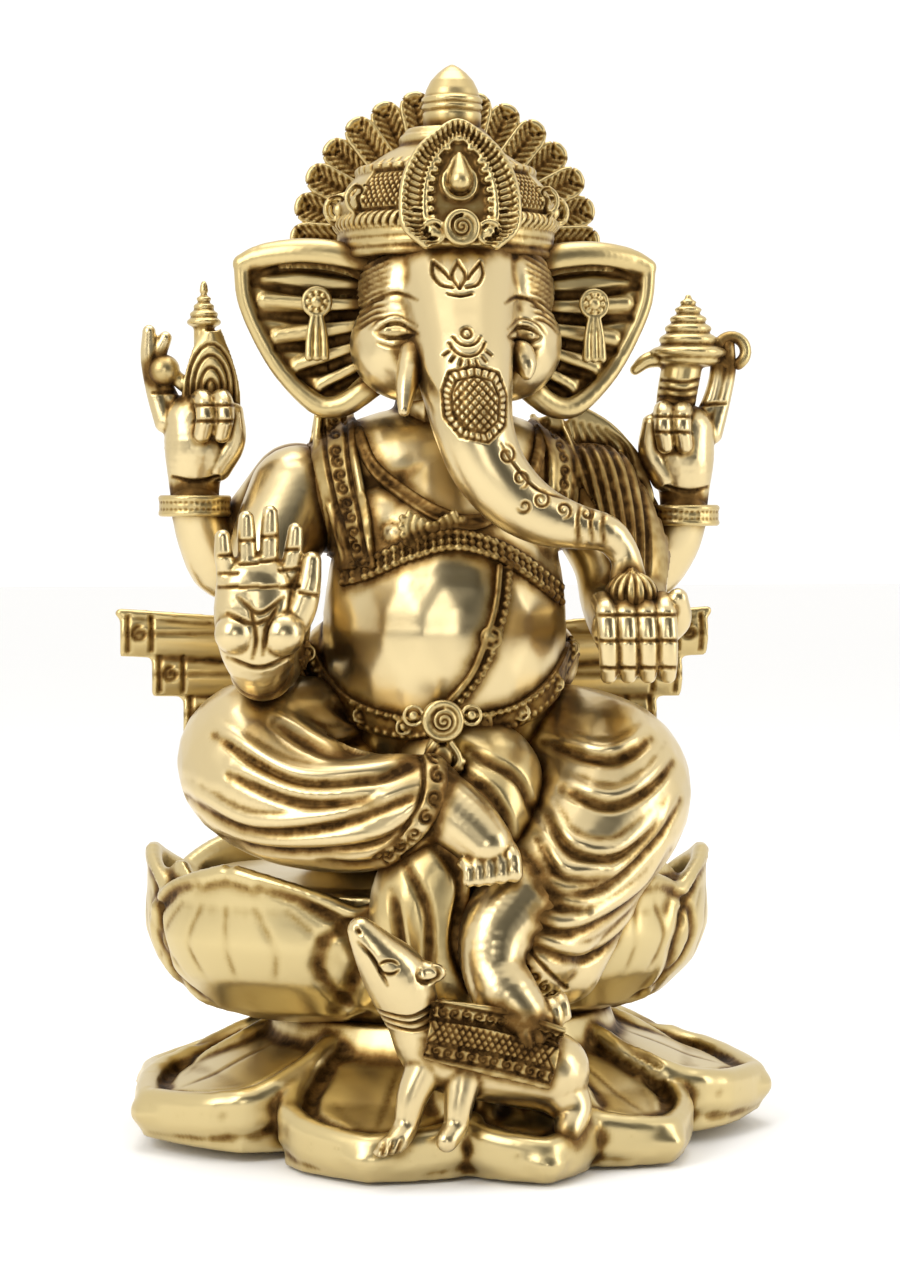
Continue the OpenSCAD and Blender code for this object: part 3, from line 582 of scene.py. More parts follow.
for angle, half, lift in LOWER_PETALS:
    a = math.radians(angle)

    def petal_flat(points, a=a):
        return np.stack([points[:, 0] * math.cos(a) + points[:, 1] * math.sin(a),
                         points[:, 0] * math.sin(a) - points[:, 1] * math.cos(a)], 1)

    inner = [[(side * half * 0.74 * petal_half(t), 50 + 43 * t) for t in np.linspace(0.25, 0.97, 14)]
             for side in (-1, 1)]
    veins = [[(0, 58), (0, 72), (0, 88)]]
    facing = lower_lotus.normals()[:, 2] > 0.35
    lower_lotus.strokes(inner, 3.4, 1.5, petal_flat, within=lambda p: facing, patina_and_painted_shade=0.55)
    lower_lotus.strokes(veins, 2.0, 0.25, petal_flat, within=lambda p: facing, patina_and_painted_shade=0.12)
print("lower lotus", len(lower_lotus.points))

# %% [markdown]
# The upper lotus is the seat: its petals stand round an oblong bowl. One petal could be arrayed, but
# these differ in width, height and flare, so a function of angle and height lays each sheet on the
# bowl. The petals overlap where they meet, and the remesh fuses them into one skin.

# %% Upper lotus
SEAT = vec((seat_low[0] + seat_high[0]) / 2, 0, WAIST_Z)
SEAT_RX, SEAT_RY, SEAT_TALL = 88, 64, 48
UPPER_PETALS = [(-46, 36, 7.5, 0.97), (-4, 28, 5.0, 0.84), (42, 31, 5.5, 0.92), (84, 32, 7.5, 0.98),
                (130, 29, 6, 0.97),
                (176, 29, 7, 0.97), (222, 31, 6, 0.97), (-96, 32, 5, 1.0), (62, 18, 2.0, 0.95),
                (-74, 18, 2.0, 0.98),
                (18, 18, 1.5, 0.8)]


def seat_point(angle, t, out=0.0):
    """A point on the seat's oblong bowl at an angle in degrees, t from the waist to the tips."""
    r = np.interp(t, [0, 0.1, 0.3, 0.52, 0.72, 0.88, 1], [-27, -15, -7, -3.5, -3, -3.5, -4]) + out
    a = math.radians(angle)
    return Vector((SEAT[0] + (SEAT_RX + r) * math.sin(a), -(SEAT_RY + r) * math.cos(a),
                   WAIST_Z + SEAT_TALL * t))


clay = bmesh.new()
lathe(clay, [(0, 36), (44, 36), (56, 44), (56, 78), (0, 79)], (SEAT[0], 0, 0))
for k, t in enumerate(np.linspace(0.03, 0.8, 12)):
    r = seat_point(90, t)[0] - SEAT[0] - 4
    ball(clay, (SEAT[0], 0, WAIST_Z + SEAT_TALL * t), 1, (r, r - (SEAT_RX - SEAT_RY), 5.5))
for angle, half, out, high in UPPER_PETALS:
    def place(u, t, more=0.0):
        wide = np.interp(t, [0, 0.2, 0.45, 0.7, 0.85, 0.95, 1], [0.5, 0.85, 1.0, 0.9, 0.6, 0.25, 0.05])
        flare = 3.0 * max(0, t - 0.75) / 0.25 if out > 4 else 0.0
        return seat_point(angle + u * half * wide, t * high,
                          more + (out - 7.5) * 0.9 + 3.5 * (1 - u * u) * math.sin(math.pi * t) + flare)

    sheet(clay, lambda u, v: place(u, v), 20, 28, 4.5)
    if out > 4:
        for side in (-1, 1):
            edge = []
            for t in np.linspace(0.05, 1.0, 18):
                p = place(side * 0.96, t, 0.9)
                edge.append([*p, np.interp(t, [0, 0.6, 1], [2.4, 3.2, 2.8])])
            limb(clay, edge, step=1.2)
upper_lotus = Casting("upper_lotus", clay, 1.1, 5)
round_seat = lambda p: np.stack([np.degrees(np.arctan2(p[:, 0] - SEAT[0], -p[:, 1] * SEAT_RX / SEAT_RY)),
                                 p[:, 2]], 1)
from_axis = (upper_lotus.points - SEAT)[:, :2] / vec(SEAT_RX, SEAT_RY)
outer_skin = (upper_lotus.normals()[:, :2] * from_axis).sum(1) > 0.35
for angle, half, out, high in UPPER_PETALS:
    if out < 4:
        continue
    veins = [[(angle + s * half * 0.25, WAIST_Z + 12), (angle + s * half * 0.32, WAIST_Z + 24),
              (angle + s * half * 0.2, WAIST_Z + 36)] for s in (-2, -1, 0, 1, 2)]
    upper_lotus.strokes(veins, 1.6, 0.22, round_seat, patina_and_painted_shade=0.08, within=lambda p: outer_skin)
    inner = [[(angle + s * half * 0.8
               * np.interp(t, [0, 0.2, 0.45, 0.7, 0.85, 1], [0.5, 0.85, 1.0, 0.9, 0.6, 0.05]),
               WAIST_Z + SEAT_TALL * t * high) for t in np.linspace(0.1, 0.93, 12)] for s in (-1, 1)]
    upper_lotus.strokes(inner, 2.6, 1.3, round_seat, patina_and_painted_shade=0.6, within=lambda p: outer_skin)
print("upper lotus", len(upper_lotus.points))

# %% [markdown]
# The body: hips, a round belly, a soft chest and sloping shoulders. It is one casting, hidden at the
# sides by the arms and the stole.

# %% Torso
clay = bmesh.new()
limb(clay, [[0, 0, -8, 30], [0, -12, 40, 38], [1, -4, 74, 30], [2, 0, 92, 20], [2, -2, 112, 16]], PELVIS,
     step=4)
limb(clay, [[-22, 8, -14, 27], [22, 8, -14, 27]], PELVIS, step=6)
limb(clay, [[-34, 4, 80, 17], [-14, -4, 86, 22], [14, -4, 86, 22], [34, 4, 80, 17]], PELVIS, step=4)
for side in (-1, 1):
    ball(clay, CHEST + vec(19 * side, -19, -6), 15.5, (1.05, 1, 0.95))
    ball(clay, PELVIS + vec(30 * side, 0, 30), 14)
torso = Casting("torso", clay, 1.1, 8)
torso.strokes([PELVIS[[0, 2]] + np.array([[0, 20], [0, 90]])], 7, 2.2, "back", patina_and_painted_shade=0.4)
nipple = CHEST + vec(-20, 0, -7)
torso.strokes([arc_line(nipple[[0, 2]], 3.2, 0, 360, 16)], 0.9, 0.5, taper=False)
torso.strokes([[nipple[[0, 2]], nipple[[0, 2]] + 0.1]], 1.7, -1.0, taper=False)
print("torso", len(torso.points), "points")

# %% [markdown]
# The legs wear a dhoti. The right leg is folded on the seat, the left one hangs down to the mouse.
# Folds fan out from the ankles and the hem is a raised band with a scroll border.

# %% Legs
def on(anchor, *points):
    """Points of the front view, given from an anchor."""
    return [(anchor[0] + x, anchor[2] + z) for x, z in points]


clay = bmesh.new()
limb(clay, [[-20, 4, -2, 26], [-42, -10, 1, 25], [-59, -25, 1, 24], [-50, -40, -8, 21],
            [-30, -52, -12, 18], [-13, -58, -9, 14.5]], PELVIS, step=3)
right_leg = Casting("right_leg", clay, 0.95, 8)
folds = [on(PELVIS, (-72, 10), (-50, -2), (-28, -1), (-14, 4)),
         on(PELVIS, (-80, -9), (-62, -17), (-38, -14), (-15, -5)),
         on(PELVIS, (-74, -20), (-54, -23), (-28, -20), (-15, -12)),
         on(PELVIS, (-55, 14), (-38, 6), (-18, 10)),
         on(PELVIS, (-68, -1), (-48, -8), (-26, -7)), on(PELVIS, (-42, -26), (-28, -26), (-16, -18)),
         on(PELVIS, (-36, 18), (-26, 12), (-14, 13))]
right_leg.strokes(folds, 2.6, 1.6, patina_and_painted_shade=0.7)
right_leg.strokes([[(x, z + 3.4) for x, z in f] for f in folds], 3.0, -0.9)
hem = on(PELVIS, (-13, 14), (-9, 6), (-10, -6), (-16, -17), (-23, -24))
right_leg.strokes([hem], 5.0, -1.1, taper=False)
right_leg.refine(near_lines([hem], 6.0))
for shift in (-4.2, 4.2):
    right_leg.strokes([[(x + shift, z) for x, z in hem]], 0.9, 0.8, taper=False)
right_leg.strokes(scrolls(hem, 2.2, 4.4), 0.75, 0.8, taper=False)

clay = bmesh.new()
limb(clay, [[22, 4, -2, 26], [42, -16, -3, 25], [48, -33, -9, 25], [38, -46, -25, 22],
            [24, -56, -40, 19], [20, -58, -50, 16]], PELVIS, step=3)
limb(clay, [[44, -36, -20, 20], [38, -46, -42, 14], [30, -50, -58, 13]], PELVIS, step=3)
left_leg = Casting("left_leg", clay, 0.95, 8)
folds = [on(PELVIS, (30, -6), (43, -10), (55, -6), (64, 1)),
         on(PELVIS, (16, -34), (38, -34), (56, -22), (66, -10)),
         on(PELVIS, (12, -41), (30, -46), (53, -37), (63, -25)), on(PELVIS, (18, -50), (36, -55), (54, -46)),
         on(PELVIS, (24, -10), (30, -22), (44, -25), (59, -16)), on(PELVIS, (22, -20), (28, -30), (44, -31)),
         on(PELVIS, (28, 6), (44, 3), (58, 8)), on(PELVIS, (14, -26), (20, -36), (34, -40))]
left_leg.strokes(folds, 2.6, 1.6, patina_and_painted_shade=0.7)
left_leg.strokes([[(x, z + 3.4) for x, z in f] for f in folds], 3.0, -0.9)
hem = on(PELVIS, (5, -34), (9, -45), (16, -56), (26, -66))
left_leg.strokes([hem], 5.0, -1.0, taper=False)
left_leg.refine(near_lines([hem], 6.0))
for shift in (-4.0, 4.0):
    left_leg.strokes([[(x + shift, z + shift * 0.5) for x, z in hem]], 0.9, 0.8, taper=False)
left_leg.strokes(scrolls(hem, 2.0, 4.2), 0.75, 0.8, taper=False)
print("legs", len(right_leg.points), len(left_leg.points))


# %% [markdown]
# Both feet are bare. A foot could be sculpted from a box, but here it is a rough limb like the leg, with
# five short toe limbs in a row and a flat ball on each for its nail. Its voxels are finer than the
# leg's, so that the gaps between the toes survive the remesh.


# %% Feet
def toes(clay, first, across, length, lift, radius):
    """Five toes in a row, the big one first, each a short limb with a nail."""
    for i in range(5):
        root = vec(*first) + vec(*across) * i * (1 - 0.04 * i)
        r = radius * (1 - 0.09 * i)
        tip = root + vec(*length) * (1 - 0.07 * i)
        mid = (root + tip) / 2 + vec(*lift)
        limb(clay, [[*root, r * 1.0], [*mid, r * 0.9], [*tip, r * 0.95]], step=0.8)
        ball(clay, tip + vec(0, -r * 0.62, r * 0.25), r * 0.62, (0.9, 0.55, 0.9))


clay = bmesh.new()
limb(clay, [[-16, -58, -7, 10.5], [-8, -61, -9, 10.5], [0, -66, -15, 9.5], [5, -70, -20, 8]], PELVIS, step=2)
toes(clay, PELVIS + vec(11, -72, -21), (-3.9, -0.6, -1.2), (1.5, -4, -7), (0.5, -1, 1), 2.9)
right_foot = Casting("right_foot", clay, 0.6, 3)

clay = bmesh.new()
limb(clay, [[16, -62, -38, 14], [8, -69, -47, 11], [7, -73, -56, 9.5], [10, -77, -63, 9.5],
            [14, -80, -68, 8]], PELVIS, step=2)
toes(clay, PELVIS + vec(13, -82, -70), (3.8, 1.2, 1.8), (1.5, -3, -7), (0, -1, 1), 3.1)
left_foot = Casting("left_foot", clay, 0.6, 3)
print("feet", len(right_foot.points), len(left_foot.points))

# %% [markdown]
# The end of the dhoti falls between the legs. A cloth simulation would hang it freely, but cast cloth
# is thick and lies close, so a heavy limb gives its mass and strokes cut its folds.

# %% Lap cloth
clay = bmesh.new()
limb(clay, [[0, -30, 0, 18], [10, -42, -4, 16], [4, -50, -16, 16], [-6, -53, -28, 16],
            [-12, -55, -42, 16], [-6, -55, -60, 16]], PELVIS, step=3)
lap_cloth = Casting("lap_cloth", clay, 0.95, 6)
folds = [on(PELVIS, (-4, 2), (8, -6), (14, -20), (10, -40)), on(PELVIS, (2, 6), (16, -2), (22, -14)),
         on(PELVIS, (-10, -20), (-2, -32), (-4, -50), (2, -64)),
         on(PELVIS, (-18, -26), (-12, -40), (-12, -58)),
         on(PELVIS, (-22, -34), (-20, -48), (-18, -60)), on(PELVIS, (2, -28), (4, -44), (6, -62))]
lap_cloth.strokes(folds, 2.4, 1.8, patina_and_painted_shade=0.8)
print("lap cloth", len(lap_cloth.points))

# %% [markdown]
# The stole's ends stand out behind the arms in pleats, with a scroll border. Each end is four closed
# sheets, one below another, with a round upper edge on each, because a stepped row of sheets gives
# pleats that the remesh keeps.

# %% Stole ends
for name, side in (("right_stole_end", -1), ("left_stole_end", 1)):
    low, high = mm_box(name)
    outer = low[0] + 2 if side < 0 else high[0] - 2
    inner = high[0] - 4 if side < 0 else low[0] + 4
    z0, z1 = low[2] + 2, high[2] - 2
    y = (low[1] + high[1]) / 2
    clay = bmesh.new()
    for i in range(4):
        za, zb = z1 - (z1 - z0) * i / 4, z1 - (z1 - z0) * (i + 1) / 4
        reach = 1 - 0.17 * i

        def pleat(u, v):
            x = inner + (outer - inner) * reach * v
            z = za + (zb - za) * (u + 1) / 2 - 3 * (1 - v) * (1.5 - i)
            return (x, y - 3.2 * math.cos(u * math.pi * 0.5) - 2 * v + i * 1.5, z)

        sheet(clay, pleat, 12, 26, 3)
        limb(clay, [[inner + (outer - inner) * reach * v, y - 2 * v + i * 1.5 - 1.4,
                     za - 3 * (1 - v) * (1.5 - i), 1.7]
                    for v in np.linspace(0, 1, 6)], step=0.8)
    end = Casting(name, clay, 0.7, 4)
    edges = []
    for i in range(4):
        za, zb = z1 - (z1 - z0) * i / 4, z1 - (z1 - z0) * (i + 1) / 4
        x = inner + (outer - inner) * (1 - 0.17 * i)
        edges.append([(x - side * 2.5, za - 1), (x - side * 2.5, zb + 1)])
        edges.append([(x - side * 10, za - 1), (x - side * 10, zb + 1)])
        edges.append(curl((x - side * 6.2, (za + zb) / 2), 2.6, 90, 1.3, 1))
    end.strokes(edges, 0.9, 0.8, taper=False)
    end.strokes([[(inner, z1 - (z1 - z0) * (i + 0.5) / 4), (outer, z1 - (z1 - z0) * (i + 0.5) / 4)]
                 for i in range(4)],
                1.5, 0.5, patina_and_painted_shade=0.4)
    print(name, len(end.points))

# %% [markdown]
# The rear arms bend up at the elbow and hold their emblems. Each arm is one limb, and a hand is a palm
# with short limbs for fingers. One function makes both hands, mirrored by the sign of side.

# %% Rear arms and hands
clay = bmesh.new()
limb(clay, [[4, 8, -4, 15], [-8, 12, -18, 13.5], [-17, 12, -27, 12], [-24, 7, -19, 9.5], [-28, 4, -8, 8]],
     R_SHOULDER, step=2.5)
rear_right_arm = Casting("rear_right_arm", clay, 1.0, 6)
clay = bmesh.new()
limb(clay, [[-4, 8, -4, 15], [7, 12, -18, 13.5], [16, 12, -28, 12], [24, 7, -21, 9.5], [28, 4, -11, 8]],
     L_SHOULDER, step=2.5)
rear_left_arm = Casting("rear_left_arm", clay, 1.0, 6)


def raised_hand(side, wrist):
    """A raised hand that grips: two fingers curl over the front, two stand up, the thumb closes in."""
    clay = bmesh.new()
    limb(clay, [[0, 0, 2, 7.5], [0, 0, 10, 8.5], [-1 * side, -1, 18, 10.5], [0, -1, 26, 9.5]], wrist,
         (1, 0.8, 1), 2)
    for i in range(2):
        limb(clay, [[(4 + 5 * i) * side, 0, 26, 3.6], [(9 + 3 * i) * side, 1, 36, 3.2],
                    [(11 + 3 * i) * side, 0, 46, 2.8], [(9 + 5 * i) * side, -1, 52 + 2 * i, 2.2]], wrist,
             step=1)
        limb(clay, [[(-6 + 6 * i) * side, 0, 28, 3.7], [(-8 + 6 * i) * side, -7, 33, 3.4],
                    [(-9 + 6 * i) * side, -11, 28, 3.1], [(-8 + 6 * i) * side, -10, 22, 2.8]], wrist, step=1)
    limb(clay, [[-7 * side, -3, 12, 4.5], [-12 * side, -5, 20, 3.8], [-12 * side, -7, 29, 3.0]], wrist,
         step=1)
    return clay


rear_right_hand = Casting("rear_right_hand", raised_hand(-1, R_WRIST), 0.5, 3)
rear_left_hand = Casting("rear_left_hand", raised_hand(1, L_WRIST), 0.5, 3)
for hand, wrist, side in ((rear_right_hand, R_WRIST, -1), (rear_left_hand, L_WRIST, 1)):
    joints = []
    for i in range(2):
        x = (-8.5 + 6 * i) * side
        joints += [on(wrist, (x - 3, 31), (x + 3, 31)), on(wrist, (x - 3, 26), (x + 3, 26))]
        joints += [on(wrist, ((7 + 3 * i) * side - 3, 35), ((7 + 3 * i) * side + 3, 35.5))]
    joints += [on(wrist, (-7, 9), (0, 7.5), (7, 9))]
    hand.strokes(joints, 0.8, 0.5, taper=False)
print("rear hands", len(rear_right_hand.points), len(rear_left_hand.points))

# %% [markdown]
# The front right hand is raised in blessing, palm forward, and the front left one holds the sweet. The
# blessing fingers could be copies of one, but each has its own reach and lean, so a short list says so.

# %% Front arms and hands
clay = bmesh.new()
limb(clay, [[4, -2, -6, 16], [-4, -10, -22, 14], [-5, -14, -36, 13], [-7, -32, -52, 11.5],
            [-10, -46, -57, 10]],
     R_SHOULDER, step=2.5)
front_right_arm = Casting("front_right_arm", clay, 1.0, 6)
clay = bmesh.new()
limb(clay, [[-4, -4, -6, 16], [4, -12, -24, 15], [5, -16, -38, 13.5], [4, -36, -48, 11.5], [0, -52, -47, 10]],
     L_SHOULDER, step=2.5)
front_left_arm = Casting("front_left_arm", clay, 1.0, 6)

# The blessing palm: four straight fingers side by side, a thumb, two pads and the palm's lines
clay = bmesh.new()
limb(clay, [[1, 6, -17, 9], [0, 1, -10, 11.5], [-0.5, 0, -2, 12.5], [-0.5, 0, 5, 12]], BLESSING,
     (1, 0.7, 1), 2)
for i, (reach, lean) in enumerate([(20, -0.6), (25.5, -0.2), (27, 0.2), (22, 0.8)]):
    x = -8.9 + 5.9 * i
    limb(clay, [[x, -1, 6, 3.2], [x + lean, -2, 13, 3.0], [x + lean * 2, -2.5, reach - 4, 2.9],
                [x + lean * 2.5, -3, reach + 1, 2.4]], BLESSING, step=1)
limb(clay, [[7, -2, -9, 5], [12, -3, -1, 4.6], [14.5, -4, 7, 3.8], [15.5, -4, 14, 3.0]], BLESSING, step=1)
ball(clay, BLESSING + vec(7, -5, -7), 6.5)
ball(clay, BLESSING + vec(-7, -4, -7), 6)
front_right_hand = Casting("front_right_hand", clay, 0.5, 3)
joints = []
for i, reach in enumerate((20, 25.5, 27, 22)):
    x = -8.9 + 5.9 * i
    joints += [on(BLESSING, (x - 2.6, z), (x + 2.6, z + 0.3)) for z in (6.5, reach * 0.52, reach * 0.78)]
joints += [on(BLESSING, (11.5, 5), (17, 4))]
front_right_hand.strokes(joints, 0.8, 0.55, taper=False)
front_right_hand.strokes([on(BLESSING, (-6, 3.5), (0, -1), (7, 3.5)),
                          on(BLESSING, (-9, -1), (-2, -4), (4, -2)),
                          on(BLESSING, (6, 2), (2, -5), (1, -13)), on(BLESSING, (-3, 2), (-1, -8), (-2, -14)),
                          on(BLESSING, (-9, -14), (0, -17), (9, -14))], 1.0, 0.8)

# The offering hand: the fingers fold down over the front
clay = bmesh.new()
limb(clay, [[4, 10, 2, 10], [3, 3, 3, 11], [0, -3, 3, 11.5]], OFFERING, (1, 1, 0.9), 2)
for i in range(4):
    x = -9 + 5.9 * i
    limb(clay, [[x, -6, 11, 3.4], [x + 0.3, -11, 8, 3.4], [x + 0.6, -13, 1, 3.1],
                [x + 1, -12, -6, 2.9], [x + 1.4, -9.5, -10.5, 2.5]], OFFERING, step=1)
limb(clay, [[11, 0, 2, 4.6], [14, -5, 6, 4.0], [13, -9, 12, 3.2]], OFFERING, step=1)
front_left_hand = Casting("front_left_hand", clay, 0.5, 3)
joints = []
for i in range(4):
    x = -8.6 + 5.9 * i
    joints += [on(OFFERING, (x - 2.6, 7.5), (x + 2.6, 7.5)), on(OFFERING, (x - 2.4, 0), (x + 2.8, 0)),
               on(OFFERING, (x - 1.8, -8), (x + 2.6, -8))]
front_left_hand.strokes(joints, 0.8, 0.5, taper=False)
print("front hands", len(front_right_hand.points), len(front_left_hand.points))

# %% [markdown]
# The head: a broad brow, full cheeks, and the trunk as one long tapering limb that swings to the
# statue's left and reaches the sweet. Finer voxels all over would be slow, so the mesh is split only
# where the eyes, the brows and the ornaments are engraved.

# %% Head and trunk
clay = bmesh.new()
ball(clay, HEAD + vec(0, 2, 6), 27, (1.14, 1, 0.98))
ball(clay, HEAD + vec(-14, -8, 8), 17)
ball(clay, HEAD + vec(13, -8, 8), 17)
ball(clay, HEAD + vec(-16, -12, -8), 17.5)
ball(clay, HEAD + vec(14, -12, -8), 17.5)
limb(clay, [[-1, -6, 14, 23], [-1, -16, 4, 19.5], [-1, -27, -8, 16.5], [-1, -37, -20, 14], [0, -44, -33, 12],
            [4, -46, -45, 11], [11, -47, -54, 10], [20, -47, -60, 8.6], [30, -47, -63, 6.8],
            [39, -47, -65, 5.6], [44, -46, -70, 4.8], [47, -46, -76, 4.0]], HEAD, step=2)
limb(clay, [[46, -46, -74, 4.2], [50, -47, -82, 2.6]], HEAD, step=1)
limb(clay, [[45, -47, -73, 4.0], [42, -48, -79, 2.4]], HEAD, step=1)
limb(clay, [[0, 4, -16, 18], [0, 6, -34, 16]], HEAD, step=4)
head = Casting("head", clay, 0.85, 6)
EYES = [(HEAD[0] - 21, HEAD[2] - 5, -1), (HEAD[0] + 17, HEAD[2] - 6, 1)]
lids, brows = [], []
for ex, ez, side in EYES:
    lids += [[(ex - 5.5 * side, ez - 1.2), (ex - 1.5 * side, ez + 2.2), (ex + 3 * side, ez + 1.7),
              (ex + 6 * side, ez - 0.4)],
             [(ex - 5.5 * side, ez - 1.2), (ex - 1 * side, ez - 2.0), (ex + 3 * side, ez - 1.9),
              (ex + 6 * side, ez - 0.4)],
             [(ex - 5.5 * side, ez + 1.2), (ex - 1 * side, ez + 4.6), (ex + 4 * side, ez + 3.8),
              (ex + 7.5 * side, ez + 0.8)],
             [(ex - 4 * side, ez - 4.2), (ex + 1 * side, ez - 4.8), (ex + 5.5 * side, ez - 3.4)]]
    brows += [[(ex - 6 * side, ez + 9), (ex - 1 * side, ez + 11.5), (ex + 5 * side, ez + 10),
               (ex + 9 * side, ez + 6)]]
fx, fz = HEAD[0] - 3, HEAD[2] + 9
trident = [[(fx - 2, fz - 1.5), (fx - 5.5, fz - 0.5), (fx - 7.5, fz + 3), (fx - 7, fz + 6.5)],
           [(fx + 2, fz - 1.5), (fx + 5.5, fz - 0.5), (fx + 7.5, fz + 3), (fx + 7, fz + 6.5)],
           [(fx - 2.6, fz + 1.2), (fx - 4.2, fz + 3.4), (fx - 7, fz + 6.5)],
           [(fx + 2.6, fz + 1.2), (fx + 4.2, fz + 3.4), (fx + 7, fz + 6.5)],
           [(fx, fz - 1.8), (fx - 2, fz + 2.2), (fx, fz + 6.6)],
           [(fx, fz - 1.8), (fx + 2, fz + 2.2), (fx, fz + 6.6)],
           [(fx - 3.5, fz - 3.4), (fx, fz - 4.2), (fx + 3.5, fz - 3.4)]]
gx, gz = HEAD[0] - 2, HEAD[2] - 8
crescent = [arc_line((gx, gz), 5.4, 195, 345, 10), arc_line((gx, gz + 2.2), 4.4, 205, 335, 8),
            arc_line((gx, gz + 1.6), 1.5, 0, 360, 10)]
crescent += [[(gx + 6.8 * math.cos(a), gz + 6.8 * math.sin(a)),
              (gx + 8.6 * math.cos(a), gz + 8.6 * math.sin(a))]
             for a in np.radians([215, 233, 252, 270, 288, 307, 325])]
px, pz = HEAD[0] - 0.5, HEAD[2] - 28
shield = [(px - 8.5, pz + 4), (px - 6.5, pz + 9), (px, pz + 10.5), (px + 6.5, pz + 9), (px + 9, pz + 3),
          (px + 8, pz - 5),
          (px + 3, pz - 9.5), (px - 4, pz - 8), (px - 8, pz - 3), (px - 8.5, pz + 4)]
inside = lambda q: ((q[:, 0] - px) / 6.9) ** 2 + ((q[:, 2] - pz - 0.5) / 8.2) ** 2 < 1
net = [[(px - 12 + k, pz - 10), (px + 8 + k, pz + 12)] for k in np.arange(-12, 16, 2.5)]
net += [[(px + 12 + k, pz - 10), (px - 8 + k, pz + 12)] for k in np.arange(-16, 12, 2.5)]
border = [[(px + (x - px) * s, pz + (z - pz) * s) for x, z in shield] for s in (0.83, 1.12)]
ticks = []
for (xa, za) in smooth_line([(*q, 0) for q in shield], 1.7)[:, :2]:
    ticks.append([(px + (xa - px) * 0.87, pz + (za - pz) * 0.87),
                  (px + (xa - px) * 1.06, pz + (za - pz) * 1.06)])
trunk_scrolls = [curl((px + 9, pz - 14), 3.0, 90, 1.3, -1), curl((px + 13, pz - 21), 2.8, 270, 1.3, 1),
                 curl((px + 19, pz - 27), 3.0, 90, 1.3, -1), curl((px + 26, pz - 30), 2.6, 270, 1.2, 1),
                 curl((px + 14, pz - 29), 2.2, 200, 1.1, 1), curl((px + 33, pz - 31), 2.0, 90, 1.1, -1),
                 [(px + 7, pz - 11), (px + 12, pz - 18), (px + 18, pz - 24), (px + 28, pz - 27)]]
rings = [[(HEAD[0] + x, HEAD[2] + z) for x, z in line] for line in (
    [(35, -57), (33.5, -62), (34.5, -68)], [(38.5, -58), (37, -63), (38, -69)],
                                                                    [(31, -56), (29.5, -62), (30.5, -69)])]
engraved = trident + crescent + border + ticks + trunk_scrolls + brows + lids
head.refine(near_lines(engraved + [[(px - 6, pz - 8), (px + 6, pz + 8)], [(px, pz + 9), (px, pz - 9)]], 3.0))
for ex, ez, side in EYES:
    head.strokes([[(ex - 3 * side, ez - 0.2), (ex + 3 * side, ez)]], 4.6, 0.9, patina_and_painted_shade=0.25)
    head.strokes([[(ex - 2.2 * side, ez - 0.1), (ex + 2.6 * side, ez)]], 2.3, -1.0, taper=False)
head.strokes(lids[0::4] + lids[1::4], 0.8, 0.75)
head.strokes(lids[2::4] + lids[3::4], 0.85, 0.45, patina_and_painted_shade=0.7)
for i in (0, 1):
    head.strokes([[(x, z + 1.7) for x, z in lids[4 * i]]], 1.3, -0.5)
head.strokes(brows, 0.9, 0.5)
head.strokes(trident + crescent, 0.75, 0.65, taper=False)
head.strokes(net, 0.55, 0.45, taper=False, within=inside)
head.strokes(border, 0.7, 0.55, taper=False)
head.strokes(ticks, 0.55, 0.45, taper=False)
head.strokes(trunk_scrolls, 0.75, 0.55)
head.strokes(rings, 1.0, 0.5)
# hair at the temples, under the crown's rim
hair = []
for side in (-1, 1):
    for k in range(11):
        z = HEAD[2] + 17 - 1.9 * k
        hair.append([(HEAD[0] - 1.5 + side * (20 + 0.25 * k), z + 3 - 0.2 * k),
                     (HEAD[0] - 1.5 + side * (25 + 0.1 * k), z + 0.6),
                     (HEAD[0] - 1.5 + side * 31, z - 2.5)])
head.strokes(hair, 0.95, 0.7, patina_and_painted_shade=0.8, limit=-0.2)
# the cheek creases beside the trunk and the mouth
head.strokes([[(HEAD[0] - 16, HEAD[2] - 10), (HEAD[0] - 15, HEAD[2] - 18), (HEAD[0] - 11, HEAD[2] - 26)],
              [(HEAD[0] + 14, HEAD[2] - 10), (HEAD[0] + 14, HEAD[2] - 18), (HEAD[0] + 11, HEAD[2] - 26)]],
             2.0, 0.8, patina_and_painted_shade=0.5)

for name, side, reach in (("right_tusk", -1, 1.0), ("left_tusk", 1, 0.35)):
    clay = bmesh.new()
    root = vec(16 * side, -30, -12)
    tip = root + vec(4 * side, -11, -17) * reach
    limb(clay, [[*root, 4.4], [*((root + tip) / 2 + vec(0.5 * side, -0.5, 0)), 3.6], [*tip, 1.9]], HEAD,
         step=1)
    Casting(name, clay, 0.5, 2)
print("head", len(head.points), "points")


# %% [markdown]
# The ears are fans: a dished plate, a thick rolled rim and deep fold lines that spread from the root.

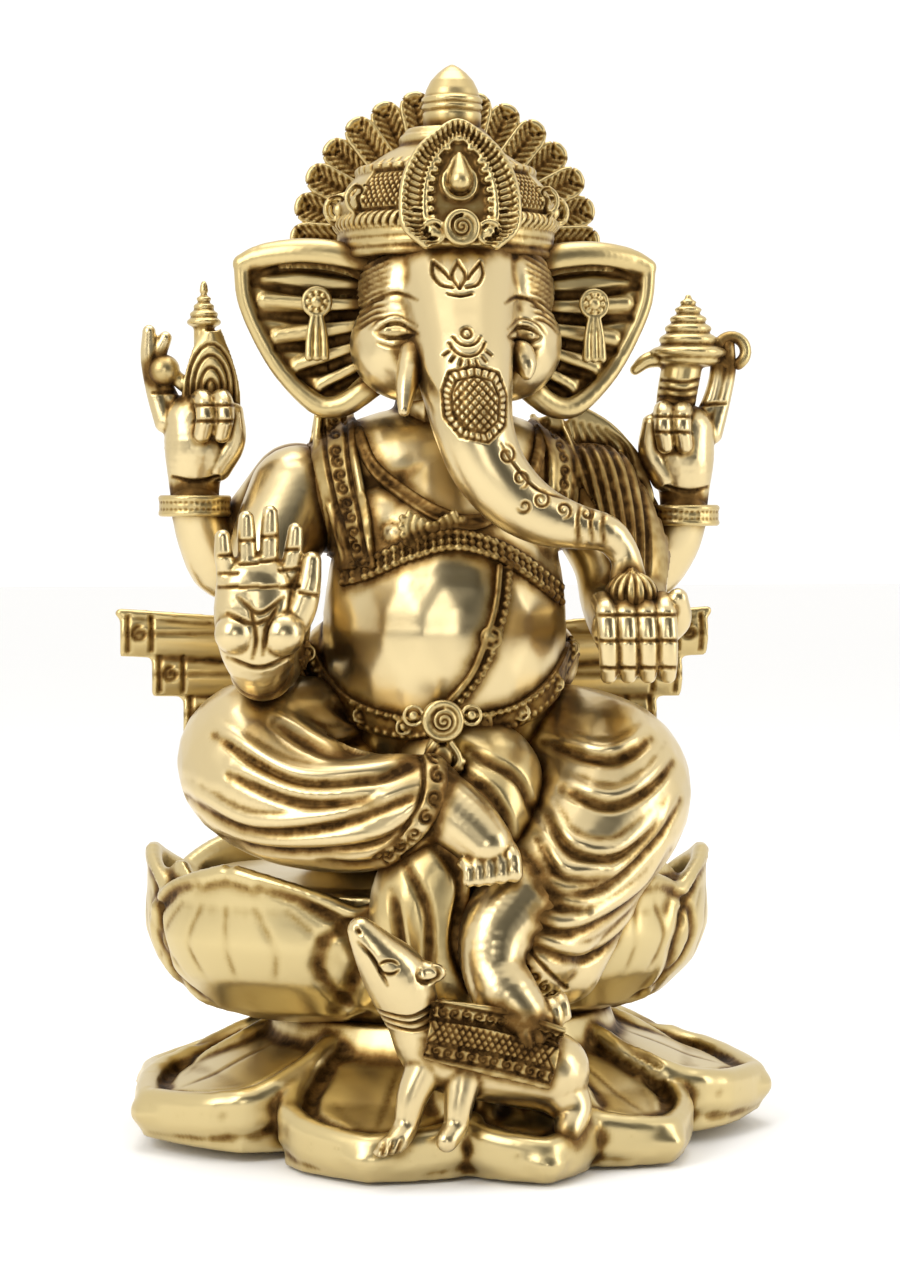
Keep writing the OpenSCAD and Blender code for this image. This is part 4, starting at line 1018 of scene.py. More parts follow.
# %% Ears
def ear(name, side):
    clay = bmesh.new()
    c = HEAD + vec(-2, 0, 0)
    outline = [(20, -20), (20, 14), (34, 20), (46, 21), (57, 20.5), (64, 19), (63.5, 12), (61, 4), (57, -5),
               (52, -14), (45, -23), (38, -29), (28, -26)]
    pts = [(x * side, z) for x, z in outline]
    place = Matrix.Translation(Vector(c + vec(0, 5, 0))) @ Matrix.Rotation(math.pi / 2, 4, "X")
    plate(clay, pts if side > 0 else pts[::-1], 3.5, place)
    limb(clay, [[22 * side, -3, 15, 5], [34 * side, -2, 19, 4.8], [46 * side, 0, 20, 4.6],
                [57 * side, 3, 19, 4.0],
                [63 * side, 4, 17, 3.0]], c, step=1.2)
    limb(clay, [[63 * side, 4, 17, 2.8], [62 * side, 4, 6, 2.6], [57 * side, 4, -6, 2.6],
                [50 * side, 3, -17, 2.8],
                [40 * side, 1, -26, 3.4], [32 * side, -1, -26, 3.8], [24 * side, -3, -20, 4.2]], c, step=1.2)
    for tip_x, tip_z, root_z in ((56, 6, 4), (52, -5, -1), (46, -14, -6), (39, -20, -11)):
        limb(clay, [[24 * side, 1, root_z, 3.4], [(24 + tip_x) / 2 * side, 2.5, (root_z + tip_z) / 2, 3.2],
                    [tip_x * side, 4, tip_z, 2.6]], c, step=1.4)
    made = Casting(name, clay, 0.65, 4)
    folds = []
    for tip_x, tip_z, root_z in ((59, 11, 8), (57, 1, 2), (52, -9, -4), (45, -17, -9), (37, -22, -15)):
        folds.append([(c[0] + 23 * side, c[2] + root_z),
                      (c[0] + (25 + tip_x) / 2 * side, c[2] + (root_z + tip_z) / 2 - 1),
                      (c[0] + tip_x * side, c[2] + tip_z)])
    made.strokes(folds, 2.0, 1.7, patina_and_painted_shade=0.8)
    rim = [(c[0] + x * side, c[2] + z) for x, z in ((26, 13), (36, 14.5), (46, 15.5), (56, 14), (59, 11))]
    made.strokes([rim], 1.8, 1.4, patina_and_painted_shade=0.9)
    return made


right_ear = ear("right_ear", -1)
left_ear = ear("left_ear", 1)
print("ears", len(right_ear.points), len(left_ear.points))

# %% [markdown]
# An earring is a rosette with three hanging strands. It is small, so rings and balls are fused with
# fine voxels and smoothed only once.

# %% Earrings
for name, side in (("right_earring", -1), ("left_earring", 1)):
    low, high = mm_box(name)
    c = vec((low[0] + high[0]) / 2, low[1] + 2.0, high[2] - 4.5)
    clay = bmesh.new()
    boss(clay, c, 4.0, 0.7)
    for k in range(8):
        a = math.tau * k / 8
        ball(clay, c + vec(2.6 * math.cos(a), -0.3, 2.6 * math.sin(a)), 0.9)
    foot = low[2] - c[2] + 1.2
    for dx in (-2.4, 0, 2.4):
        limb(clay, [[dx * 0.5, 0, -4, 0.9], [dx * 0.9, 0, foot * 0.6, 1.2], [dx, -0.3, foot, 1.5]], c,
             step=0.5)
    earring = Casting(name, clay, 0.32, 1)
    print(name, len(earring.points))

# %% [markdown]
# The dress lies on the finished body. Each strip is laid by casting rays at the body from the front,
# so it follows the breast and the belly, and it is fused to a thickness afterwards.

# %% Stole
body = tree_of(["torso", "front_right_arm", "front_left_arm", "rear_right_arm", "rear_left_arm"])


def by_neck(*points):
    return on(NECK, *points)


clay = bmesh.new()
inner = by_neck((-30, 6), (-31, -4), (-29, -20), (-27, -41))
outer = by_neck((-40, 4), (-41, -6), (-38, -22), (-34, -40))
ribbon(clay, body, by_neck((-35, 6), (-36, -6), (-33.5, -22), (-30.5, -42)), [6, 6.5, 6, 5], 1.0, 2.6,
       miss=-5)
limb(clay, [[*laid(body, x, z, 1.4, miss=-5), 1.3] for x, z in inner], step=0.8)
limb(clay, [[*laid(body, x, z, 1.4, miss=-5), 1.3] for x, z in outer], step=0.8)
right_stole = Casting("right_stole", clay, 0.5, 3)
right_stole.strokes([by_neck((-32, 6), (-33, -6), (-31, -22), (-28.5, -40)),
                     by_neck((-38, 4), (-39, -8), (-36, -24), (-32.5, -40))],
                    0.9, 0.8, taper=False)
right_stole.strokes(scrolls(by_neck((-35, 4), (-36, -6), (-33.5, -22), (-30.5, -40)), 1.9, 4.0), 0.65, 0.7,
                    taper=False)

clay = bmesh.new()
ribbon(clay, body, by_neck((31, 5), (34, -6), (33, -20), (30, -28)), [5.5, 5.5, 5, 4.5], 1.0, 2.6, miss=-5)
ribbon(clay, body, by_neck((38, 3), (49, -8), (57, -28), (56, -52)), [8, 12, 11, 8], 1.0, 2.6, miss=-2,
       across=14)
for line in (by_neck((28, 5), (30.5, -6), (29.5, -20), (27, -30)),
             by_neck((36.5, 4), (39.5, -8), (38, -22), (34.5, -30)),
             by_neck((42, 2), (60, -8), (67, -28), (63, -50))):
    limb(clay, [[*laid(body, x, z, 1.2, miss=-2), 1.2] for x, z in line], step=0.8)
left_stole = Casting("left_stole", clay, 0.55, 3)
pleats = [by_neck((38 + 2.6 * k, 4 - 0.6 * k), (41 + 3.4 * k, -10 + 0.8 * k), (44 + 3.2 * k, -28 + k),
                  (46 + 2.6 * k, -52 + k))
          for k in range(6)]
left_stole.strokes(pleats, 1.3, 1.1, patina_and_painted_shade=0.8)
left_stole.strokes(scrolls(by_neck((31.5, 3), (35, -8), (34, -20), (31, -27)), 1.8, 3.8), 0.65, 0.7,
                   taper=False)
print("stole", len(right_stole.points), len(left_stole.points))

# %% [markdown]
# The necklace, the chest band and the sacred thread lie on the body. Bevelled curves would give smooth
# cords, but cast beads are joined to the metal behind them, so balls and ribs are fused with a ribbon.

# %% Necklace, chest band, thread
chest_line = on(BELLY, (-33, 17), (-27, 19), (-14, 25), (0, 28), (16, 23), (34, 11))
necklace_line = on(NECK, (-30, 2), (-26, -10), (-18, -18), (-8, -25), (3, -28), (14, -23), (23, -14), (28, 0))
thread_line = on(BELLY, (14, 20), (12.5, 9), (9.5, -1), (5, -12), (-3, -22))
clay = bmesh.new()
ribbon(clay, body, necklace_line, 2.0, 0.6, 1.6, miss=-10, across=4)
for side in (-1, 1):
    spine = smooth_line([(*p, 0) for p in necklace_line], 2.0)
    limb(clay, [[*laid(body, p[0] + side * 0.3, p[1] + side * 1.7, 1.0, miss=-12), 0.9] for p in spine],
         step=0.6)
pendant = vec(NECK[0] - 9.5, 0, NECK[2] - 29)
pendant = laid(body, pendant[0], pendant[2], 1.2)
for ring_r in (1.0, 3.4, 5.4, 7.6):
    limb(clay, [[pendant[0] + ring_r * math.cos(a), pendant[1] - 1.5 + ring_r * 0.15,
                 pendant[2] + ring_r * math.sin(a), 1.25]
                for a in np.radians(np.linspace(150, 390, 9))], step=0.7)
for a in np.radians(np.arange(165, 380, 16)):
    ball(clay, pendant + vec(9.2 * math.cos(a), -0.5, 9.2 * math.sin(a)), 1.25)
necklace = Casting("necklace", clay, 0.42, 2)
necklace.cut += 0.12

clay = bmesh.new()
ribbon(clay, body, chest_line, 3.2, 0.3, 1.4, miss=-14, across=4)
for side in (-1, 0, 1):
    beads(clay, body, [(x, z + side * 2.2) for x, z in chest_line], 1.25 if side else 0.9, 1.4, 2.3, miss=-16)
chest_band = Casting("chest_band", clay, 0.42, 1)

clay = bmesh.new()
ribbon(clay, body, thread_line, 2.2, 0.4, 1.4, across=4)
spine = smooth_line([(*p, 0) for p in thread_line], 2.0)
limb(clay, [[*laid(body, p[0] - 1.6, p[1], 1.2), 1.1] for p in spine], step=0.6)
beads(clay, body, [(x + 1.8, z) for x, z in thread_line], 1.15, 1.3, 2.2)
clasp = laid(body, BELLY[0] + 9.4, BELLY[2] - 1, 1.4)
boss(clay, clasp, 3.0, 0.7)
sacred_thread = Casting("sacred_thread", clay, 0.42, 1)
print("necklace, bands", len(necklace.points), len(chest_band.points), len(sacred_thread.points))

# %% [markdown]
# The belt runs under the belly with a row of rosettes, laid by rays like the rest of the dress. The
# buckle stands proud of it, so it is built round its own centre: a rosette, a drop and two side ones.

# %% Belt and buckle
belt_line = on(PELVIS, (-44, 34), (-37, 21), (-28, 15), (-16, 12), (-5, 13), (8, 13), (20, 16), (32, 24),
               (40, 34))
clay = bmesh.new()
ribbon(clay, body, belt_line, 3.6, 0.6, 2.2, miss=-18, across=4)
for side in (-1, 1):
    beads(clay, body, [(x, z + side * 2.8) for x, z in belt_line], 1.1, 1.8, 2.2, miss=-20)
for k, (x, z) in enumerate(smooth_line([(*p, 0) for p in belt_line], 7.5)[:, :2]):
    boss(clay, laid(body, x, z, 2.6, miss=-20), 2.2, 0.6)
belt = Casting("belt", clay, 0.48, 1)

low, high = mm_box("belt_buckle")
buckle = vec(PELVIS[0] - 6, low[1] + 3.5, PELVIS[2] + 15)
clay = bmesh.new()
limb(clay, [[*(buckle + vec(0, 3, 0)), 5.6], [*(buckle + vec(0, 8, 0)), 5.6]], step=1)
boss(clay, buckle, 5.2, 0.45)
drop = buckle + vec(0, 1.5, -10)
outline = [(0, 6.5), (-4.6, 0), (-4.4, -3.6), (0, -6.4), (4.4, -3.6), (4.6, 0), (0, 6.5)]
limb(clay, [[drop[0] + x, drop[1], drop[2] + z, 1.1] for x, z in outline], step=0.7)
ball(clay, drop + vec(0, 0.6, -1), 3.6, (0.9, 0.5, 1.1))
ball(clay, drop + vec(0, 3.2, 0), 5.0, (1, 0.5, 1.2))
for a in np.radians(np.arange(190, 351, 20)):
    ball(clay, drop + vec(6.1 * math.cos(a), 0.6, -1 + 6.3 * math.sin(a)), 1.2)
for side in (-1, 1):
    boss(clay, buckle + vec(8.6 * side, 1.5, 1.5), 2.8, 0.5)
belt_buckle = Casting("belt_buckle", clay, 0.4, 1)
belt_buckle.strokes([curl((buckle[0], buckle[2]), 4.0, 90, 2.2, 1, 0.1)], 0.6, 0.6, taper=False)
print("belt", len(belt.points), len(belt_buckle.points))

# %% [markdown]
# A bangle is two round rings with a ribbed band between them. A lathe could make the rings, but limbs
# along circles let the ribs fuse with them.

# %% Bangles
for name, wrist in (("rear_right_bangle", R_WRIST), ("rear_left_bangle", L_WRIST)):
    clay = bmesh.new()
    for z in (-2.3, 2.3):
        limb(clay, [[10.3 * math.cos(a), 10.3 * math.sin(a), z, 1.15]
                    for a in np.linspace(0, math.tau, 25)], wrist, step=0.6)
    limb(clay, [[9.3 * math.cos(a), 9.3 * math.sin(a), 0, 1.9] for a in np.linspace(0, math.tau, 25)],
         wrist, step=0.8)
    for a in np.linspace(0, math.tau, 40)[:-1]:
        limb(clay, [[10.6 * math.cos(a), 10.6 * math.sin(a), -1.2, 0.55],
                    [10.6 * math.cos(a), 10.6 * math.sin(a), 1.2, 0.55]],
             wrist, step=0.5)
    bangle = Casting(name, clay, 0.38, 1)
    print(name, len(bangle.points))

# %% [markdown]
# The rear hands hold a goad and a noose, both worn smooth. Stacked flat balls make the ringed tops, and
# a sheet and bent limbs make the blade and the hooks. Their stems run down into the fists.

# %% Goad and noose
low, high = mm_box("goad")
cx, top = R_WRIST[0] + 3, high[2]
clay = bmesh.new()
limb(clay, [[cx, -1, R_WRIST[2] + 22, 3.2], [cx, -1, top - 12, 3.4]], step=1)
for k in range(5):
    z = top - 13 + 2.4 * k
    ball(clay, (cx, -1, z), 5.4 - 0.95 * k, (1, 1, 0.36))
ball(clay, (cx, -1, top - 2.6), 2.6, (0.5, 0.5, 1))
sheet(clay, lambda u, v: (cx + 2 + 8.5 * u * math.sin(math.pi * min(1, v * 0.75 + 0.2)), -3 + 1.5 * u * u,
                          R_WRIST[2] + 18 + 36 * v),
      14, 22, 5)
ball(clay, (low[0] + 5.2, -1, R_WRIST[2] + 42), 5.0)
limb(clay, [[low[0] + 6, -1, R_WRIST[2] + 42, 2.4], [cx - 4, -1, R_WRIST[2] + 36, 2.6]], step=1)
goad = Casting("goad", clay, 0.45, 2)
gx, gz = cx + 2, R_WRIST[2] + 36
arches = [[(gx + w * math.cos(a), gz + (w * 1.9) * math.sin(a))
           for a in np.radians(np.linspace(200, -20, 14))]
          + [(gx + w * 0.7, gz - 16)] for w in (1.6, 3.6, 5.6, 7.4)]
goad.strokes(arches, 0.75, 0.8, taper=False)

low, high = mm_box("noose")
nx, top = L_WRIST[0] + 1, high[2]
clay = bmesh.new()
for k, (r, dz) in enumerate([(10.5, 22), (12.5, 19.5), (9.4, 15.5), (7.6, 12), (6.0, 9), (4.4, 6),
                             (2.8, 3.6)]):
    ball(clay, (nx, -1, top - dz), r, (1, 0.8, 0.24 if k < 2 else 0.32))
limb(clay, [[nx, -1, top - 24, 3.4], [nx, -1, top - 2.2, 1.2]], step=0.8)
limb(clay, [[nx - 4, -1, L_WRIST[2] + 18, 4.5], [nx - 4, -1, L_WRIST[2] + 34, 6.2],
            [nx - 2, -1, top - 24, 6.5]], step=1)
hook = arc_line((nx + 14, top - 19), 4.6, 250, -60, 12)
limb(clay, [[x, -1, z, 2.0] for x, z in hook], step=0.8)
limb(clay, [[nx - 6, -1, top - 21, 3.2], [nx - 13, -1, top - 22, 2.6], [nx - 17, -1, top - 25, 1.8]],
     step=0.8)
noose = Casting("noose", clay, 0.45, 2)
ribs = [[(nx - 12, L_WRIST[2] + z), (nx - 3, L_WRIST[2] + z - 1.5), (nx + 5, L_WRIST[2] + z)]
        for z in np.arange(20, 46, 2.6)]
noose.strokes(ribs, 0.8, 0.7, taper=False)
print("goad", len(goad.points), "noose", len(noose.points))

# %% [markdown]
# The modak is a pleated sweet, round and drawn up to a point. Its pleats are strokes on a map that is
# unrolled round its axis, so that they run straight up.

# %% Modak
low, high = mm_box("modak")
c = (low + high) / 2
clay = bmesh.new()
ball(clay, c + vec(0, 0, -1), (high[0] - low[0]) / 2 - 0.6, (1, 1, 0.85))
limb(clay, [[0, 0, 0, 5.5], [0, 0, (high[2] - low[2]) / 2 - 2.2, 1.6]], c, step=0.8)
modak = Casting("modak", clay, 0.4, 2)
MODAK_MM = 0.14  # width on the unrolled map of one degree round the sweet
polar = lambda p: np.stack([np.degrees(np.arctan2(p[:, 0] - c[0], -(p[:, 1] - c[1]))) * MODAK_MM, p[:, 2]], 1)
modak.strokes([[(a * MODAK_MM, low[2]), (a * MODAK_MM, high[2] - 1)] for a in range(-168, 180, 24)], 1.0,
              0.9, polar)
print("modak", len(modak.points))

# %% [markdown]
# The crown is a dome of revolution, engraved round its axis, so its strokes are drawn on a map that is
# unrolled: across is the distance round the dome and up is height.

# %% Crown
low, high = mm_box("crown")
R = (high[0] - low[0]) / 2
top = high[2]
clay = bmesh.new()
b = low[2]
lathe(clay, [(0, b), (R - 4.5, b), (R - 2.8, b + 1.5), (R - 2.4, b + 8), (R - 1.2, b + 9.5),
             (R - 0.4, b + 11), (R - 2, b + 13),
             (R - 1.6, b + 17), (R - 4.5, b + 23), (R - 10, b + 29), (R - 17, b + 33.5), (R - 22, b + 36),
             (13, top - 2), (12, top),
             (0, top)], (CROWN[0], CROWN[1], 0), steps=72)
for z, r, w in ((1.6, R - 2.9, 1.5), (4.6, R - 2.6, 1.4), (7.4, R - 2.6, 1.4), (11.2, R - 2.0, 2.2),
                (27.5, R - 8.2, 1.5), (37.5, 13, 1.6)):
    limb(clay, [[r * math.cos(a), r * math.sin(a), z, w] for a in np.linspace(0, math.tau, 49)],
         (CROWN[0], CROWN[1], b), step=1.2)
for side in (-1, 1):
    for angle, z, r in ((58, 17.5, 4.2), (84, 15.5, 4.6), (104, 17, 3.4)):
        a = math.radians(angle) * side
        spot = vec(CROWN[0] + (R - 2.0) * math.sin(a), CROWN[1] - (R - 2.0) * math.cos(a), b + z)
        boss(clay, spot, r, 0.5, None)
crown = Casting("crown", clay, 0.68, 2)
CROWN_MM = 0.58  # width on the unrolled map of one degree round the dome
crown_map = lambda p: np.stack([np.degrees(np.arctan2(p[:, 0] - CROWN[0], -(p[:, 1] - CROWN[1])))
                                * CROWN_MM, p[:, 2] - b], 1)
rope = [[(x, 9.2), (x + 2.0, 13.4)] for x in np.arange(-103, 103, 2.7)]
crown.refine(lambda p: (crown_map(p)[:, 1] > 8.6) & (crown_map(p)[:, 1] < 27)
             & (np.hypot(p[:, 0] - CROWN[0], p[:, 1] - CROWN[1]) > 22))
crown.strokes(rope, 0.7, 0.9, crown_map, taper=False)
outside = lambda p: np.hypot(p[:, 0] - CROWN[0], p[:, 1] - CROWN[1]) > R - 12
hatch = []
for side in (-1, 1):
    for k in np.arange(-14, 24, 2.1):
        hatch += [[(side * (15 + k), 14.5), (side * (24 + k), 26)],
                  [(side * (27 + k), 14.5), (side * (18 + k), 26)]]
panel = lambda p: outside(p) & (np.abs(np.abs(crown_map(p)[:, 0]) - 24) < 8.5) & (np.abs(crown_map(p)[:, 1]
                                                                                         - 20.2) < 5.3)
crown.strokes(hatch, 0.6, 0.6, crown_map, taper=False, within=panel)
frame_lines = []
for side in (-1, 1):
    x0, x1 = side * 14.5, side * 33.5
    frame_lines += [[(x0, 14.2), (x0, 26.2)], [(x1, 14.2), (x1, 26.2)],
                    [(x0, 14.2), (x1, 14.2)], [(x0, 26.2), (x1, 26.2)]]
frame_lines += [[(x, 27), (x * 0.99, 35)] for x in np.arange(-100, 100, 5)]
crown.strokes(frame_lines, 0.9, 0.8, crown_map, taper=False, within=outside)
back = scrolls([(40, 20.5), (104, 20.5)], 3.0, 6.4) + scrolls([(-104, 20.5), (-40, 20.5)], 3.0, 6.4)
crown.strokes(back, 0.8, 0.8, crown_map, taper=False, within=outside)
print("crown", len(crown.points))

# %% [markdown]
# The crest is a leaf-shaped plate at the crown's front, with a gem in a frame. It leans back, so it is
# drawn flat and stood up by one matrix, which keeps its outline easy to read and change.

# %% Crown crest
# The crest leans back on the dome. It is shaped in its own plane: across is x and up is q.
low, high = mm_box("crown_crest")
foot = vec((low[0] + high[0]) / 2, low[1] + 3.0, low[2] + 1)
lean = math.atan2(high[1] - low[1] - 8, high[2] - low[2])
tall = (high[2] - low[2]) / math.cos(lean) - 1.5
half = (high[0] - low[0]) / 2 - 0.5
upright = vec(0, math.sin(lean), math.cos(lean))
outward = vec(0, -math.cos(lean), math.sin(lean))


def crest(x, q, out=0.0):
    return foot + vec(x, 0, 0) + upright * q + outward * out


shape = [(0.62, 0), (0.95, 0.14), (1.0, 0.34), (0.92, 0.56), (0.7, 0.76), (0.38, 0.9), (0.0, 1.0)]
rim = [(x * half, q * tall) for x, q in shape]
rim = [(-x, q) for x, q in rim] + rim[::-1][1:]
rim = [(-x, q) for x, q in rim]
clay = bmesh.new()
turn = Matrix(((1, 0, 0), (0, upright[1], outward[1]), (0, upright[2], outward[2]))).to_4x4()
turn.translation = Vector(foot - outward * 1.6)
plate(clay, rim, 4.6, turn)
limb(clay, [[*crest(x * 0.97, q * 0.98, 0.8), 1.5] for x, q in rim], step=0.7)
limb(clay, [[*crest(x * 0.62, 3 + q * 0.8, 1.4), 1.2] for x, q in rim], step=0.6)
for x, q in smooth_line([(x * 0.5, 4 + q * 0.74, 0) for x, q in rim], 2.6)[:, :2]:
    ball(clay, crest(x, q, 1.5), 1.1)
gem = crest(0, tall * 0.52, 1.0)
ball(clay, gem, 4.4, (0.85, 0.8, 1.0))
limb(clay, [[*crest(0, tall * 0.5, 2.2), 3.6], [*crest(0, tall * 0.72, 1.6), 0.9]], step=0.6)
ring = [(4.8 * math.cos(a), tall * 0.5 + 5.2 * math.sin(a) + (2.6 if math.sin(a) > 0.8 else 0))
        for a in np.linspace(0, math.tau, 15)]
limb(clay, [[*crest(x, q, 1.2), 0.85] for x, q in ring], step=0.5)
boss(clay, crest(0, 4.6, 3.2), 4.6, 0.5)
ball(clay, crest(0, 4.6, 0.8), 5.4, (1, 0.7, 1))
for side in (-1, 1):
    boss(clay, crest(8.4 * side, 3.6, 2.0), 3.3, 0.5)
    boss(clay, crest(13 * side, 8.6, 1.0), 2.6, 0.5)
crown_crest = Casting("crown_crest", clay, 0.42, 2)
crest_map = lambda p: np.stack([p[:, 0] - foot[0], (p - foot) @ upright], 1)
front_part = lambda p: (p - foot) @ outward > -0.4
comb = []
for x, q in smooth_line([(x, q, 0) for x, q in rim], 1.9)[:, :2]:
    comb.append([(x * 0.68, 3 + (q - 3) * 0.86), (x * 0.96, q * 0.985)])
crown_crest.strokes(comb, 0.6, 0.9, crest_map, taper=False, within=front_part)
crown_crest.strokes([curl((0, 4.6), 3.4, 90, 2.0, 1, 0.1)], 0.6, 0.8, crest_map, taper=False,
                    within=front_part)
print("crest", len(crown_crest.points))

# %% [markdown]
# The finial is a bud on stacked rings. It is round about its axis, so one section is spun into it.

# %% Crown finial
low, high = mm_box("crown_finial")
c = (low + high) / 2
s, r = (high[2] - low[2]) / 26.0, (high[0] - low[0]) / 2
finial_mesh = bmesh.new()
lathe(finial_mesh, [(0, 0), (r - 0.6, 0), (r, 0.8), (r, 3.2), (r - 0.7, 4.0), (r - 1.2, 6), (r - 0.9, 10.5),
                    (r - 1.5, 11.2),
                    (r - 0.6, 12), (r - 0.6, 13), (r - 1.4, 13.6), (r - 0.6, 14.2), (r - 0.6, 15.2),
                    (r - 1.4, 15.8), (r - 2.0, 18),
                    (r - 3.4, 20.8), (r - 5.6, 23.2), (r - 7.6, 24.8), (r - 9.2, 25.7), (0, 26)],
      (c[0], c[1], low[2]), steps=64)
finial = Casting("crown_finial", finial_mesh, 0.35, 1)
print("crown finial", len(finial.points))

# %% [markdown]
# One feather is modelled and engraved, then copied round the halo. Seventeen copies share one shape.

# %% Halo
low, high = mm_box("halo")
hub = vec((low[0] + high[0]) / 2, (low[1] + high[1]) / 2, high[2] - (high[0] - low[0]) / 2)
HALO_R = (high[0] - low[0]) / 2
COUNT = 17
SWEEP = 200
clay = bmesh.new()
w = HALO_R * math.radians(SWEEP / COUNT) / 2 - 0.1
limb(clay, [[0, 0.8, 18, 3.2], [0, 0.4, 34, 3.4], [0, 0, HALO_R - w - 1, 3.2]], stretch=(1.25, 0.55, 1),
     step=0.8)
rim = [(-w * 0.62, 18), (-w * 0.8, 34), (-w + 0.8, HALO_R - w)] + arc_line((0, HALO_R - w), w - 1.0, 168,
                                                                           12, 8) + [
    (w - 0.8, HALO_R - w), (w * 0.8, 34), (w * 0.62, 18)]
limb(clay, [[x, -0.2, z, 1.25] for x, z in rim], step=0.6)
plate(clay, rim, 2.4, Matrix.Translation((0, 0.8, 0)) @ Matrix.Rotation(math.pi / 2, 4, "X"))
feather = Casting("halo", clay, 0.6, 2)
barbs = [[(0.4 * s_, z), (s_ * w * 0.72, z + 3.2)] for s_ in (-1, 1)
         for z in np.arange(20, HALO_R - w + 1, 2.3)]
for view in ("front", "back"):
    feather.strokes([[(0, 18), (0, HALO_R - w - 0.6)]], 1.1, 1.2, view, taper=False)
    feather.strokes(barbs, 0.75, 0.8, view, taper=False)
    feather.strokes([[(0, HALO_R - w + 0.6), (0, HALO_R - w + 0.7)]], 1.5, 1.4, view, taper=False)
feather.normals()
pattern = bmesh.new()
pattern.from_mesh(feather.object.data)
cut_layer = pattern.verts.layers.float.new("cut")
for v in pattern.verts:
    v[cut_layer] = feather.cut[v.index]
whole = list(pattern.verts) + list(pattern.edges) + list(pattern.faces)
first = list(pattern.verts)
for k in range(COUNT):
    a = math.radians(-SWEEP / 2 + SWEEP * k / (COUNT - 1))
    stagger = -0.6 if k % 2 else 0.4
    spot = Matrix.Translation(Vector(hub) * MM) @ Matrix.Rotation(a, 4, "Y")
    spot = spot @ Matrix.Translation((0, stagger * MM, 0))
    copy = bmesh.ops.duplicate(pattern, geom=whole)
    bmesh.ops.transform(pattern, matrix=spot,
                        verts=[g for g in copy["geom"] if isinstance(g, bmesh.types.BMVert)])
bmesh.ops.delete(pattern, geom=first, context="VERTS")
bmesh.ops.create_cone(pattern, cap_ends=True, segments=64, radius1=26 * MM, radius2=26 * MM, depth=5 * MM,
                      matrix=Matrix.Translation(Vector(hub + vec(0, 0.5, 0))
                                                * MM) @ Matrix.Rotation(math.pi / 2, 4, "X"))
pattern.verts.ensure_lookup_table()
feather.cut = np.array([v[cut_layer] for v in pattern.verts])
pattern.verts.layers.float.remove(cut_layer)
pattern.to_mesh(feather.object.data)
pattern.free()
feather.read()
print("halo", len(feather.points))

# %% [markdown]
# The mouse crouches under the left foot with its head turned up, and wears a saddle cloth. Its back is
# one limb from rump to snout, and shorter limbs make its legs, because a small animal is mostly curve.

# %% Mouse
clay = bmesh.new()
limb(clay, [[20, 4, -4, 12], [4, 2, 0, 12.5], [-12, -1, 4, 11.5], [-20, -3, 14, 8.5], [-25, -5, 25, 9.5],
            [-31, -7.5, 33, 6.8],
            [-36, -8.5, 40, 4.0]], MOUSE, step=2)
ball(clay, MOUSE + vec(-18.5, -8, 27), 4.6, (1.15, 0.7, 0.9))
ball(clay, MOUSE + vec(-16.0, -9, 27.5), 3.4, (1.4, 0.8, 0.9))
ball(clay, MOUSE + vec(-29.5, -12.5, 29.5), 1.7, (1.3, 0.8, 0.9))
limb(clay, [[-16, -5, 2, 6], [-21, -7, -8, 4.6], [-23, -8, -16, 3.8], [-26, -11, -20, 3.6],
            [-29, -13, -21, 2.8]], MOUSE, step=1)
limb(clay, [[-6, -6, 0, 6], [-8, -9, -10, 4.4], [-9, -10, -16, 3.8], [-12, -13, -20, 3.4]], MOUSE, step=1)
for k in (-1, 0, 1):
    limb(clay, [[-28, -13 + k, -21 + 0.2 * k, 1.8], [-32 + abs(k), -14.5 + 2.4 * k, -22.4, 1.3]], MOUSE,
         step=0.6)
limb(clay, [[20, 2, -6, 9], [26, 0, -14, 6], [24, -6, -20, 4]], MOUSE, step=1)
mouse = Casting("mouse", clay, 0.65, 4)
mouse.points[:, 2] = np.maximum(mouse.points[:, 2], 2.0)
m = (MOUSE[0], MOUSE[2])
eye = (m[0] - 28.5, m[1] + 30)
mouse.refine(lambda p: (p[:, 0] < m[0] - 12) & (p[:, 2] > m[1] + 6))
mouse.strokes([arc_line(eye, 2.9, 20, 160, 8, 2.0), arc_line(eye, 2.9, 200, 340, 8, 1.8)], 0.7, 0.7)
mouse.strokes([[(m[0] - 37, m[1] + 37), (m[0] - 33, m[1] + 32.5), (m[0] - 29, m[1] + 25)],
               [(m[0] - 37.5, m[1] + 41), (m[0] - 36.5, m[1] + 39.5)]], 0.9, 0.9)
mouse.strokes([arc_line((m[0] - 17, m[1] + 27.5), 3.2, 150, 420, 10, 2.4)], 1.0, 1.0)
mouse.strokes([[(m[0] - 31, m[1] + 16.5), (m[0] - 22, m[1] + 15.5), (m[0] - 13, m[1] + 19.5)],
               [(m[0] - 29, m[1] + 12.5), (m[0] - 20.5, m[1] + 11.5), (m[0] - 12, m[1] + 15.5)],
               [(m[0] - 29.5, m[1] + 14.5), (m[0] - 21.5, m[1] + 13.5), (m[0] - 13, m[1] + 17.5)]], 0.8,
              0.8, taper=False)
mouse.strokes([[(m[0] - 30 + 2.6 * k, m[1] - 19), (m[0] - 31 + 2.2 * k, m[1] - 24)] for k in range(3)], 0.8,
              0.9, patina_and_painted_shade=0.9)
print("mouse", len(mouse.points))

# %% [markdown]
# The saddle cloth lies over the mouse's side with a scroll border and a netted middle. It is laid by
# rays on the finished mouse, and its strokes follow the cloth's own direction.

